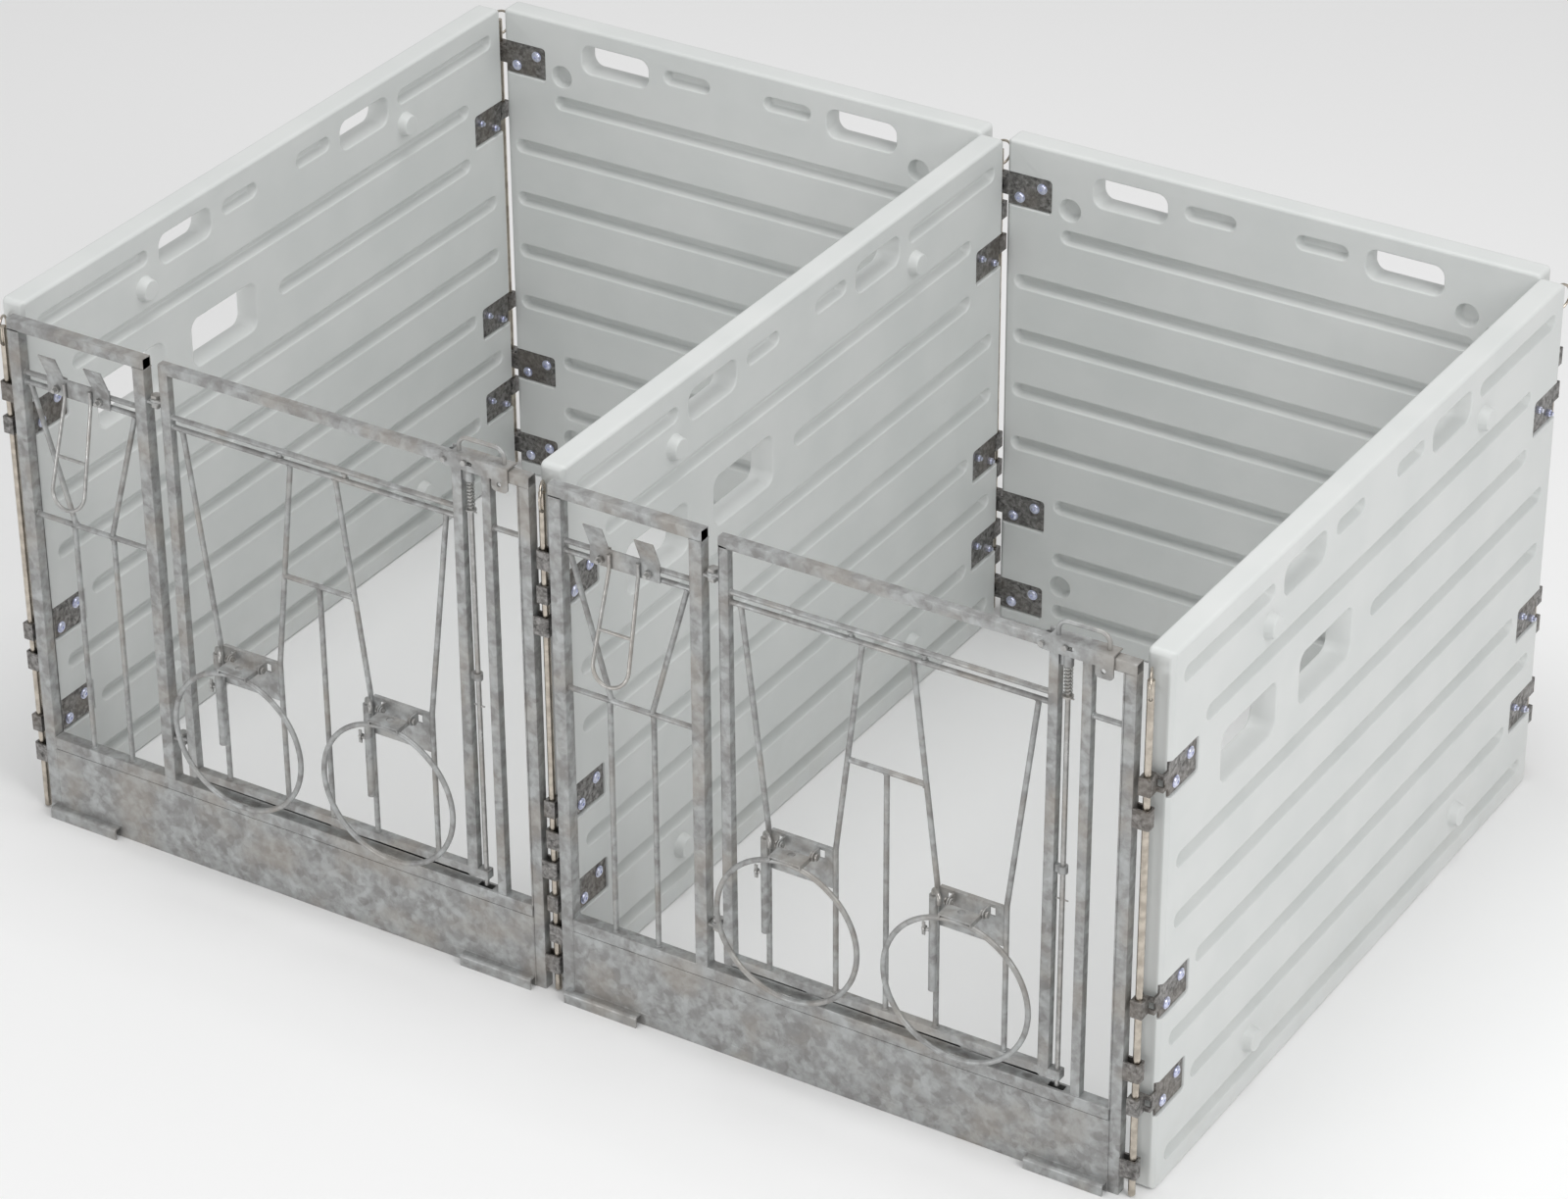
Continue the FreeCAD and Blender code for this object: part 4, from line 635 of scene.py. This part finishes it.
@dataclass
class PlasticPanel:
    """A rotationally moulded panel with grooves, hand holes, bosses and bracket pockets.

    Its own frame runs along x, upwards along y and outwards from the middle plane along z.
    """

    name: str
    node: str
    length: float
    height: float
    place: Matrix
    long_rows: tuple[int, ...]
    short_rows: tuple[int, ...]
    long_margin: float
    handle_offset: float
    boss_inset: float
    near_pockets: tuple[float, ...]
    far_pockets: tuple[float, ...]
    tab_pitch: float
    windows: tuple[float, ...] = ()
    end_slots: bool = False
    boss_front: bool = True
    sizes: PanelSizes = field(default_factory=PanelSizes)

    short_margin: float = 119 * MM
    slot_offset: float = 116 * MM
    slot_length: float = 112 * MM
    end_slot: tuple[float, float] = (33 * MM, 357 * MM)
    window_row_start: float = 735 * MM

    def grooves(self) -> list[tuple[float, float, float]]:
        """Lists the grooves.

        Returns:
            Start, end and height of every groove.
        """
        sizes, middle = self.sizes, self.length / 2
        top = sizes.row(8)
        found = [(margin, self.length - margin, sizes.row(row))
                 for margin, rows in ((self.long_margin, self.long_rows),
                                      (self.short_margin, self.short_rows)) for row in rows]
        for side in (-1, 1):
            centre = middle + side * self.slot_offset
            found.append((centre - self.slot_length / 2, centre + self.slot_length / 2, top))
        if self.end_slots:
            start, end = self.end_slot
            found += [(start, end, top), (self.length - end, self.length - start, top),
                      (self.window_row_start, self.length - self.short_margin, sizes.row(6))]
        return found

    def recesses(self, front: bool) -> list[Recess]:
        """Lists every recess and boss on one face, in that face's own run along x.

        Args:
            front: Whether it is the front face.

        Returns:
            The face's recesses and bosses.
        """
        sizes = self.sizes
        found = [Recess((start + end) / 2, height, end - start, sizes.groove, sizes.groove / 2,
                        sizes.groove_steps) for start, end, height in self.grooves()]
        top = sizes.row(8) - sizes.opening_drop
        found += [Recess(self.length / 2 + side * self.handle_offset, top, *sizes.handle,
                         sizes.opening_corner, sizes.handle_steps, True) for side in (-1, 1)]
        found += [Recess(centre, sizes.row(6), *sizes.window, sizes.opening_corner,
                         sizes.window_steps, True) for centre in self.windows]
        raised = front == self.boss_front
        steps = sizes.boss_steps if raised else sizes.dimple_steps
        found += [Recess(along, height, sizes.boss, sizes.boss, sizes.boss / 2, steps, False, 8)
                  for along in (self.boss_inset, self.length - self.boss_inset)
                  for height in sizes.boss_heights]
        if not front:
            for recess in found:
                recess.along = self.length - recess.along
        return found

    def add_outline(self, mesh: bmesh.types.BMesh, centre: Vector, width: float, tall: float,
                    corner: float, segments: int) -> bmesh.types.BMFace:
        """Adds one flat face with round corners.

        Args:
            mesh: Mesh that takes the face.
            centre: Middle of the face.
            width: Size along x.
            tall: Size along y.
            corner: Radius of the corners.
            segments: Steps of each corner.

        Returns:
            The new face.
        """
        known = set(mesh.faces)
        verts = bmesh.ops.create_grid(mesh, x_segments=1, y_segments=1, size=0.5)["verts"]
        scale = Matrix.Diagonal((width, tall, 1.0, 1.0))
        bmesh.ops.transform(mesh, matrix=Matrix.Translation(centre) @ scale, verts=verts)
        offset = min(corner, min(width, tall) / 2 * 0.975)
        bmesh.ops.bevel(mesh, geom=verts, offset=offset, offset_type="OFFSET", segments=segments,
                        profile=0.5, affect="VERTICES", clamp_overlap=True, material=-1)
        return next(face for face in mesh.faces if face not in known)

    def step_in(self, mesh: bmesh.types.BMesh, face: bmesh.types.BMFace, steps: Steps) -> None:
        """Insets one face again and again, by each step's thickness and depth."""
        for thickness, depth in steps:
            bmesh.ops.inset_individual(mesh, faces=[face], use_even_offset=True,
                                       thickness=thickness, depth=depth)

    def add_face(self, mesh: bmesh.types.BMesh, front: bool) -> None:
        """Builds one half of the panel: round rim, flat face and all that is sunk or raised on it.

        Args:
            mesh: Mesh that takes the half.
            front: Whether it is the front half.
        """
        before = set(mesh.verts)
        sizes = self.sizes
        base = sizes.thickness / 2 - sizes.edge - sizes.collar
        middle = Vector((self.length / 2, self.height / 2, base))
        rim = self.add_outline(mesh, middle, self.length, self.height, sizes.corner, 5)
        self.step_in(mesh, rim, sizes.rim_steps)
        edges = list(rim.edges)
        shapes = []
        for recess in self.recesses(front):
            centre = Vector((recess.along, recess.height, sizes.thickness / 2))
            face = self.add_outline(mesh, centre, recess.width, recess.tall, recess.corner,
                                    recess.segments)
            edges += face.edges
            shapes.append((recess, face))
        bmesh.ops.delete(mesh, geom=[rim], context="FACES_ONLY")
        bmesh.ops.triangle_fill(mesh, use_beauty=True, edges=edges, normal=(0, 0, 1))
        for recess, face in shapes:
            self.step_in(mesh, face, recess.steps)
            if recess.through:
                bmesh.ops.delete(mesh, geom=[face], context="FACES_ONLY")
        if not front:
            turn = Matrix.Translation((self.length, 0, 0)) @ Matrix.Rotation(math.pi, 4, "Y")
            half = [vert for vert in mesh.verts if vert not in before]
            bmesh.ops.transform(mesh, matrix=turn, verts=half)

    def add_tabs(self, mesh: bmesh.types.BMesh) -> None:
        """Adds the small flats that tie the two walls together along the grooves' upper edges.

        Args:
            mesh: Mesh that takes the flats.
        """
        sizes = self.sizes
        for number, (start, end, height) in enumerate(self.grooves()):
            if end - start < 2 * self.slot_length:
                continue
            shift = self.tab_pitch / 2 if number % 2 else 0.0
            count = math.floor(self.length / self.tab_pitch) + 1
            spots = [shift + self.tab_pitch * (i + 0.25) for i in range(count)]
            top = height + sizes.groove / 2 - sizes.tab_drop
            for along in spots:
                if start + sizes.tab_width < along < end - sizes.tab_width:
                    for side in (-1, 1):
                        face = side * sizes.thickness / 2
                        ends = [face - side * depth for depth in sizes.tab_depths]
                        half = sizes.tab_width / 2
                        low = Vector((along - half, top - sizes.tab_height, min(ends)))
                        high = Vector((along + half, top, max(ends)))
                        add_block(mesh, low, high, sizes.tab_rounding, 2)

    def pocket_cutter(self) -> bpy.types.Object:
        """Builds the shapes that cut the bracket pockets, as one object.

        Returns:
            The object, not yet in the scene.
        """
        mesh = bmesh.new()
        run, past = self.sizes.pocket[0], self.sizes.overrun
        for start, end, heights in ((-past, run, self.near_pockets),
                                    (self.length - run, self.length + past, self.far_pockets)):
            for height in heights:
                for front in (True, False):
                    centre = Vector(((start + end) / 2, height, 0))
                    self.add_pocket(mesh, centre, end - start, front)
        bmesh.ops.recalc_face_normals(mesh, faces=mesh.faces)
        bmesh.ops.triangulate(mesh, faces=[face for face in mesh.faces if len(face.verts) > 4])
        data = bpy.data.meshes.new(self.name + "_cutter")
        mesh.to_mesh(data)
        mesh.free()
        return bpy.data.objects.new(self.name + "_cutter", data)

    def add_pocket(self, mesh: bmesh.types.BMesh, centre: Vector, width: float,
                   front: bool) -> None:
        """Adds the cutter of one bracket pocket, with round corners and a soft lip.

        Args:
            mesh: Mesh that takes the cutter.
            centre: Middle of the pocket on the panel's middle plane.
            width: Length of the pocket along the panel.
            front: Whether the pocket is in the front face.
        """
        before, sizes = set(mesh.verts), self.sizes
        wide, tall = width + 2 * sizes.pocket_lip, sizes.pocket[1] + 2 * sizes.pocket_lip
        mouth = centre + Vector((0, 0, sizes.thickness / 2 + sizes.overrun))
        self.add_outline(mesh, mouth, wide, tall, sizes.pocket_corner + sizes.pocket_lip, 5)
        face = self.add_outline(mesh, mouth, wide, tall, sizes.pocket_corner + sizes.pocket_lip, 5)
        self.step_in(mesh, face, sizes.pocket_steps)
        bmesh.ops.remove_doubles(mesh, verts=[vert for vert in mesh.verts if vert not in before],
                                 dist=MERGE)
        if not front:
            turn = Matrix.Translation((0, 2 * centre.y, 0)) @ Matrix.Rotation(math.pi, 4, "X")
            pocket = [vert for vert in mesh.verts if vert not in before]
            bmesh.ops.transform(mesh, matrix=turn, verts=pocket)

    def flatten_corners(self, mesh: bmesh.types.BMesh) -> None:
        """Gives the front near corner and the back far corner their flat chamfers.

        Args:
            mesh: Mesh of the panel, which is changed.
        """
        half = self.sizes.thickness / 2
        for corner, outward in ((Vector((0, 0, half)), Vector((-1, 0, 1))),
                                (Vector((self.length, 0, -half)), Vector((1, 0, -1)))):
            outward.normalize()
            for vert in mesh.verts:
                beyond = (vert.co - corner).dot(outward) + self.sizes.chamfer / math.sqrt(2)
                if beyond > 0:
                    vert.co -= outward * beyond

    def build(self) -> bpy.types.Object:
        """Builds the panel.

        Returns:
            Its object.
        """
        mesh = bmesh.new()
        for front in (True, False):
            self.add_face(mesh, front)
        bmesh.ops.remove_doubles(mesh, verts=mesh.verts, dist=2e-5)
        rims = [edge for edge in mesh.edges if edge.is_boundary]
        bmesh.ops.bridge_loops(mesh, edges=rims)
        bmesh.ops.recalc_face_normals(mesh, faces=mesh.faces)
        self.flatten_corners(mesh)
        cut = self.with_pockets(mesh)
        self.add_tabs(cut)
        bmesh.ops.transform(cut, matrix=self.place, verts=cut.verts)
        return finish_piece(cut, self.name, "pen", Finish.PLASTIC, [self.node], 50.0)

    def with_pockets(self, mesh: bmesh.types.BMesh) -> bmesh.types.BMesh:
        """Cuts the bracket pockets out of a panel.

        Args:
            mesh: Mesh of the panel, which is freed.

        Returns:
            The cut mesh.
        """
        bmesh.ops.triangulate(mesh, faces=[face for face in mesh.faces if len(face.verts) > 4])
        data = bpy.data.meshes.new(self.name + "_blank")
        mesh.to_mesh(data)
        mesh.free()
        blank = bpy.data.objects.new(self.name + "_blank", data)
        cutter = self.pocket_cutter()
        for item in (blank, cutter):
            bpy.context.scene.collection.objects.link(item)
        boolean = blank.modifiers.new("pockets", "BOOLEAN")
        boolean.operation = "DIFFERENCE"
        boolean.solver = "EXACT"
        boolean.object = cutter
        bpy.context.view_layer.update()
        evaluated = blank.evaluated_get(bpy.context.evaluated_depsgraph_get())
        result = bpy.data.meshes.new_from_object(evaluated)
        cut = bmesh.new()
        cut.from_mesh(result)
        for item in (blank, cutter):
            bpy.data.objects.remove(item)
        bmesh.ops.triangulate(cut, faces=[face for face in cut.faces if len(face.verts) > 4])
        return cut


@dataclass
class PanelSet:
    """The three side panels and the two rear panels."""

    side_brackets: tuple[float, ...] = (823 * MM, 388 * MM, 189 * MM)
    rear_left_brackets: tuple[float, ...] = (957 * MM, 258 * MM, 60 * MM)
    rear_right_brackets: tuple[float, ...] = (893 * MM, 326 * MM, 126 * MM)

    def build(self) -> None:
        """Builds all five panels."""
        sizes = PanelSizes()
        for name in ("side_panel_left", "side_panel_middle", "side_panel_right"):
            low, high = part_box(name)
            middle = low.x + sizes.thickness / 2
            place = Matrix(((0, 0, 1, middle), (1, 0, 0, low.y), (0, 1, 0, low.z), (0, 0, 0, 1)))
            PlasticPanel(name + "_moulding", name, high.y - low.y, high.z - low.z, place,
                         long_rows=(0, 2, 4, 5), short_rows=(1, 3, 7), long_margin=33 * MM,
                         handle_offset=283 * MM, boss_inset=337 * MM,
                         near_pockets=self.side_brackets, far_pockets=self.side_brackets,
                         tab_pitch=200 * MM, windows=(281 * MM, 565 * MM), end_slots=True).build()
        for name in ("rear_panel_left", "rear_panel_right"):
            low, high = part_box(name)
            middle = low.y + sizes.thickness / 2
            place = Matrix(((1, 0, 0, low.x), (0, 0, -1, middle), (0, 1, 0, low.z), (0, 0, 0, 1)))
            PlasticPanel(name + "_moulding", name, high.x - low.x, high.z - low.z, place,
                         long_rows=(3, 4, 5, 6), short_rows=(0, 1, 2, 7), long_margin=20 * MM,
                         handle_offset=285 * MM, boss_inset=139 * MM,
                         near_pockets=self.rear_left_brackets, far_pockets=self.rear_right_brackets,
                         tab_pitch=186 * MM, boss_front=False).build()


# ---------------------------------------------------------------- steel parts

@dataclass
class SteelPart:
    """Steel pieces taken from CAD nodes, with worked edges and their finish."""

    nodes: tuple[str, ...]
    body: str
    finish: Finish
    edge: float = 0.5 * MM
    corner: float = 0.0
    long_edge: float = 60 * MM
    segments: int = 2
    corner_segments: int = 3
    shortest: float = 2.2
    crease: float = math.radians(50)

    def build(self) -> None:
        """Builds one piece for each node."""
        for node in self.nodes:
            mesh = node_copy(node)
            if self.corner:
                self.round_edges(mesh, self.corner, self.corner_segments,
                                 lambda edge: edge.calc_length() > self.long_edge)
            if self.edge:
                self.round_edges(mesh, self.edge, self.segments,
                                 lambda edge: edge.calc_length() > self.shortest * self.edge)
            finish_piece(mesh, node + "_finished", self.body, self.finish, [node])

    def round_edges(self, mesh: bmesh.types.BMesh, width: float, segments: int,
                    wanted: Callable[[bmesh.types.BMEdge], bool]) -> None:
        """Rounds every crease that is wanted.

        Args:
            mesh: Mesh that is changed.
            width: Width of the rounding.
            segments: Steps of the rounding.
            wanted: Test that an edge has to pass.
        """
        edges = [edge for edge in mesh.edges if len(edge.link_faces) == 2
                 and edge.calc_face_angle(0.0) > self.crease and wanted(edge)]
        bmesh.ops.bevel(mesh, geom=edges, offset=width, offset_type="OFFSET", segments=segments,
                        profile=0.5, affect="EDGES", clamp_overlap=True, material=-1)


@dataclass
class PanelBolts:
    """Button-head bolts with washers and hexagon sockets, and their nuts' washers."""

    node: str = "panel_bolts"
    head: float = 9.2 * MM
    dome: float = 5 * MM
    socket: float = 3 * MM
    washer: float = 11 * MM
    washer_thickness: float = 1.4 * MM
    shank: float = 4 * MM
    beyond_shank: float = 6 * MM
    socket_rim: float = 1 * MM
    socket_taper: float = 0.3 * MM
    socket_depth: float = 2.4 * MM

    def build(self) -> None:
        """Builds all the bolts as one piece."""
        source = node_copy(self.node)
        mesh = bmesh.new()
        for shell in islands(source):
            low, high = box_of(vert.co for vert in shell)
            spread = high - low
            axis = max(range(3), key=lambda index: spread[index])
            centre = (low + high) / 2
            line = Vector(i == axis for i in range(3))
            wide = [vert.co[axis] for vert in shell
                    if (vert.co - centre - (vert.co - centre)[axis] * line).length
                    > self.beyond_shank]
            side = 1.0 if sum(wide) / len(wide) > centre[axis] else -1.0
            along = Vector(side * (i == axis) for i in range(3))
            tip = centre + along * (spread[axis] / 2)
            self.add_bolt(mesh, tip - along * self.dome, along, spread[axis] - self.dome)
        source.free()
        finish_piece(mesh, "panel_bolts_finished", "pen", Finish.BLUE, [self.node])

    def add_bolt(self, mesh: bmesh.types.BMesh, seat: Vector, along: Vector, reach: float) -> None:
        """Adds one bolt: shank, washer, domed head and its socket.

        Args:
            mesh: Mesh that takes the bolt.
            seat: Point on the bolt's axis under its washer.
            along: Direction from the shank to the head.
            reach: Length of the shank.
        """
        before = set(mesh.verts)
        bmesh.ops.create_cone(mesh, cap_ends=True, segments=12, radius1=self.shank,
                              radius2=self.shank, depth=reach,
                              matrix=Matrix.Translation((0, 0, -reach / 2)))
        bmesh.ops.create_cone(mesh, cap_ends=True, segments=20, radius1=self.washer,
                              radius2=self.washer, depth=self.washer_thickness,
                              matrix=Matrix.Translation((0, 0, self.washer_thickness / 2)))
        known = set(mesh.faces)
        bmesh.ops.create_circle(mesh, cap_ends=True, segments=18, radius=self.head,
                                matrix=Matrix.Translation((0, 0, self.washer_thickness)))
        face = next(item for item in mesh.faces if item not in known)
        rise = self.dome - self.washer_thickness
        steps = [math.pi / 2 * i / 4 for i in range(5)]
        for start, end in zip(steps, steps[1:]):
            crown = self.head - self.socket - self.socket_rim
            bmesh.ops.inset_individual(mesh, faces=[face], use_even_offset=True,
                                       thickness=crown * (math.cos(start) - math.cos(end)),
                                       depth=rise * (math.sin(end) - math.sin(start)))
        bmesh.ops.inset_individual(mesh, faces=[face], thickness=self.socket_rim, depth=0.0)
        bmesh.ops.inset_individual(mesh, faces=[face], thickness=self.socket_taper,
                                   depth=-self.socket_depth)
        verts = [vert for vert in mesh.verts if vert not in before]
        turn = Vector((0, 0, 1)).rotation_difference(along).to_matrix().to_4x4()
        bmesh.ops.transform(mesh, matrix=Matrix.Translation(seat) @ turn, verts=verts)


@dataclass
class Welds:
    """Beads where round bars meet tubes and where tubes butt together."""

    name: str
    body: str
    bar_nodes: tuple[str, ...]
    tube_nodes: tuple[str, ...]
    wire: float = 1.7 * MM
    bar: float = 5 * MM
    bead_gap: float = 0.2 * MM
    bead_setback: float = 0.6 * MM
    bead_swell: tuple[float, float] = (-0.05, 0.09)
    end_reach: float = 4 * MM
    back_reach: float = 12 * MM
    probe: float = 3 * MM
    slack: float = 1 * MM
    proud: float = 0.7 * MM
    half_width: float = 1.4 * MM
    rounding: float = 1.3 * MM

    def build(self) -> None:
        """Builds all the beads of one welded frame as one piece."""
        mesh = bmesh.new()
        dice = random.Random(len(self.name))
        for node in self.bar_nodes:
            source = node_copy(node)
            for shell in islands(source):
                for end, along in self.bar_ends(shell):
                    self.add_bead(mesh, end, along, dice)
            source.free()
        for node in self.tube_nodes:
            source = node_copy(node)
            shells = [box_of(vert.co for vert in shell) for shell in islands(source)]
            source.free()
            for box in shells:
                self.add_butt_welds(mesh, box, shells)
        finish_piece(mesh, self.name, self.body, Finish.ZINC, smooth_angle=80.0)

    def bar_ends(self, shell: list[bmesh.types.BMVert]) -> list[tuple[Vector, Vector]]:
        """Finds both ends of a bar.

        Args:
            shell: The bar's vertices.

        Returns:
            Centre and outward direction of each end.
        """
        low, high = box_of(vert.co for vert in shell)
        axis = max(range(3), key=lambda index: (high - low)[index])
        ends = []
        for limit in (low[axis], high[axis]):
            rim = [vert.co for vert in shell if abs(vert.co[axis] - limit) < self.end_reach]
            centre = sum(rim, Vector()) / len(rim)
            inner = sorted(shell, key=lambda vert: abs(vert.co[axis] - limit))
            away = [vert.co for vert in inner
                    if abs(vert.co[axis] - limit) > self.back_reach][:len(rim)]
            back = sum(away, Vector()) / len(away)
            ends.append((centre, (centre - back).normalized()))
        return ends

    def add_bead(self, mesh: bmesh.types.BMesh, end: Vector, along: Vector,
                 dice: random.Random) -> None:
        """Adds one uneven ring of weld metal round a bar's end.

        Args:
            mesh: Mesh that takes the bead.
            end: Centre of the bar's end.
            along: Outward direction of the bar.
            dice: Source of the unevenness.
        """
        ring = add_tube_ring(mesh, end - along * self.bead_setback, along, self.bar + self.bead_gap,
                             self.wire)
        for vert in ring:
            vert.co += (vert.co - end) * dice.uniform(*self.bead_swell)

    def add_butt_welds(self, mesh: bmesh.types.BMesh, box: tuple[Vector, Vector],
                       shells: list[tuple[Vector, Vector]]) -> None:
        """Adds a rounded frame of weld metal at each end of a tube that butts on another one.

        Args:
            mesh: Mesh that takes the weld metal.
            box: Lowest and highest corner of the tube.
            shells: The same of every tube in the frame.
        """
        low, high = box
        axis = max(range(3), key=lambda index: (high - low)[index])
        middle = (low + high) / 2
        for limit, sign in ((low[axis], -1), (high[axis], 1)):
            spot = middle.copy()
            spot[axis] = limit + sign * self.probe
            if not any(all(a[i] - self.slack < spot[i] < b[i] + self.slack for i in range(3))
                       for a, b in shells if (a, b) != box):
                continue
            margin = Vector((self.proud,) * 3)
            first, last = low - margin, high + margin
            first.z = max(first.z, 0.0)
            first[axis], last[axis] = limit - self.half_width, limit + self.half_width
            add_block(mesh, first, last, self.rounding, 2)


@dataclass
class Steelwork:
    """All the galvanised and bright steel of the pen."""

    sides: tuple[str, ...] = ("left", "right")
    posts: tuple[str, ...] = ("left", "middle", "right")

    def build(self) -> None:
        """Builds the fixed steel, both gates and every moving steel part."""
        SteelPart(("side_panel_brackets", "rear_panel_brackets", "backing_plates",
                   "gate_knuckles"), "pen", Finish.DULL_ZINC, 0.8 * MM).build()
        SteelPart(("panel_nuts",), "pen", Finish.BLUE, 0.4 * MM, segments=1).build()
        PanelBolts().build()
        SteelPart(("kick_plates", "gate_feet", "fixed_hinge_lugs", "bottle_plates"), "pen",
                  Finish.ZINC).build()
        SteelPart(("bottle_cradles", "bottle_clamps", "door_hinge_bolts"), "pen", Finish.ROD_ZINC,
                  0.4 * MM).build()
        for side in self.sides:
            self.build_gate(side)
        for number in range(1, 5):
            SteelPart(("bucket_ring_%d" % number,), "ring_%d" % number, Finish.ZINC,
                      0.5 * MM).build()
            SteelPart(("keeper_rod_%d" % number,), "keeper_%d" % number, Finish.ROD_ZINC,
                      0.6 * MM).build()
        for end in ("front", "rear"):
            for post in self.posts:
                SteelPart(("hinge_rod_%s_%s" % (end, post),), "rod_%s_%s" % (end, post),
                          Finish.BRIGHT, 0.8 * MM).build()

    def build_gate(self, side: str) -> None:
        """Builds one gate's fixed frame, door, latch and welds.

        Args:
            side: Which gate, left or right.
        """
        door = "door_" + side
        SteelPart(("gate_%s_frame" % side,), "pen", Finish.ZINC, 0.4 * MM, 2.4 * MM).build()
        SteelPart(("gate_%s_bars" % side,), "pen", Finish.ZINC, 0.0).build()
        SteelPart((door + "_frame",), door, Finish.ZINC, 0.4 * MM, 2.0 * MM).build()
        SteelPart((door + "_bars", door + "_keeper_tubes"), door, Finish.ZINC, 0.0).build()
        SteelPart((door + "_hinge_lugs", door + "_bucket_plates", door + "_latch_guides"), door,
                  Finish.ZINC).build()
        SteelPart((door + "_pins_and_screws",), door, Finish.ROD_ZINC, 0.5 * MM).build()
        SteelPart(("latch_%s_saddle" % side,), "latch_lever_" + side, Finish.ZINC, 0.6 * MM).build()
        SteelPart(("latch_%s_rod" % side, "latch_%s_rod_fittings" % side), "latch_bolt_" + side,
                  Finish.ROD_ZINC, 0.4 * MM).build()
        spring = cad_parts["latch_%s_spring" % side]
        spring.data.materials.clear()
        spring.data.materials.append(MATERIALS[Finish.SPRING])
        Welds("gate_%s_welds" % side, "pen", ("gate_%s_bars" % side,),
              ("gate_%s_frame" % side,)).build()
        Welds(door + "_welds", door, (door + "_bars",), (door + "_frame",)).build()


# ---------------------------------------------------------------- studio

@dataclass(frozen=True)
class SoftLight:
    """One square area light."""

    name: str
    spot: tuple[float, float, float]
    power: float
    size: float


@dataclass
class Studio:
    """Pale floor, soft lights and the camera."""

    floor_reach: float = 30.0
    floor_colour: Colour = (0.92, 0.92, 0.92, 1)
    sky_colour: Colour = (1.0, 1.0, 1.0, 1)
    sky_power: float = 0.56
    aim: tuple[float, float, float] = (0, 0, 0.5)
    lights: tuple[SoftLight, ...] = (SoftLight("key", (5.5, -2.2, 5.0), 150.0, 3.5),
                                     SoftLight("top", (0.0, -0.4, 7.5), 170.0, 4.0),
                                     SoftLight("front", (-2.0, -6.5, 0.8), 75.0, 2.0))
    eye: Vector = field(default_factory=lambda: Vector((4.2152, -6.7949, 5.1726)))
    view: Vector = field(default_factory=lambda: Vector((-0.44366, 0.73225, -0.51670)))
    lens: float = 115.0
    shift: tuple[float, float] = (-0.0310, 0.0200)

    def build(self) -> None:
        """Builds the floor, the lights, the sky and the camera."""
        self.build_floor()
        self.build_lights()
        self.build_camera()

    def build_floor(self) -> None:
        """Lays a wide pale floor under the pen."""
        mesh = bmesh.new()
        bmesh.ops.create_grid(mesh, x_segments=1, y_segments=1, size=self.floor_reach)
        data = bpy.data.meshes.new("floor")
        mesh.to_mesh(data)
        mesh.free()
        floor = bpy.data.objects.new("floor", data)
        bpy.context.scene.collection.objects.link(floor)
        material, _, shader = start_material("pale_floor")
        shader.inputs["Base Color"].default_value = self.floor_colour
        shader.inputs["Roughness"].default_value = 0.9
        data.materials.append(material)
        floor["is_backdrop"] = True

    def build_lights(self) -> None:
        """Hangs a key at the right, a wide top light, a low front light and an even sky."""
        world = bpy.data.worlds.new("studio_sky")
        world.use_nodes = True
        background = world.node_tree.nodes["Background"]
        background.inputs[0].default_value = self.sky_colour
        background.inputs[1].default_value = self.sky_power
        bpy.context.scene.world = world
        for light in self.lights:
            data = bpy.data.lights.new(light.name, "AREA")
            data.energy = light.power
            data.size = light.size
            lamp = bpy.data.objects.new(light.name, data)
            lamp.location = light.spot
            beam = Vector(self.aim) - Vector(light.spot)
            lamp.rotation_euler = beam.to_track_quat("-Z", "Y").to_euler()
            bpy.context.scene.collection.objects.link(lamp)

    def build_camera(self) -> None:
        """Sets up the camera."""
        data = bpy.data.cameras.new("view_camera")
        data.lens = self.lens
        data.shift_x, data.shift_y = self.shift
        camera = bpy.data.objects.new("view_camera", data)
        camera.location = self.eye
        camera.rotation_euler = self.view.to_track_quat("-Z", "Y").to_euler()
        bpy.context.scene.collection.objects.link(camera)
        bpy.context.scene.camera = camera
        bpy.context.scene.view_settings.view_transform = "Standard"


def main() -> None:
    """Builds the panels, the steelwork and the studio in order, and works out both boxes."""
    logging.basicConfig(level=logging.INFO, format="%(name)s: %(message)s")
    PanelSet().build()
    Steelwork().build()
    Studio().build()
    boxes = {"cad": CAD_BOUNDS, "visual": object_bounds()}
    plain = {name: [[float(value) for value in corner] for corner in box]
             for name, box in boxes.items()}


if __name__ == "__main__":
    main()
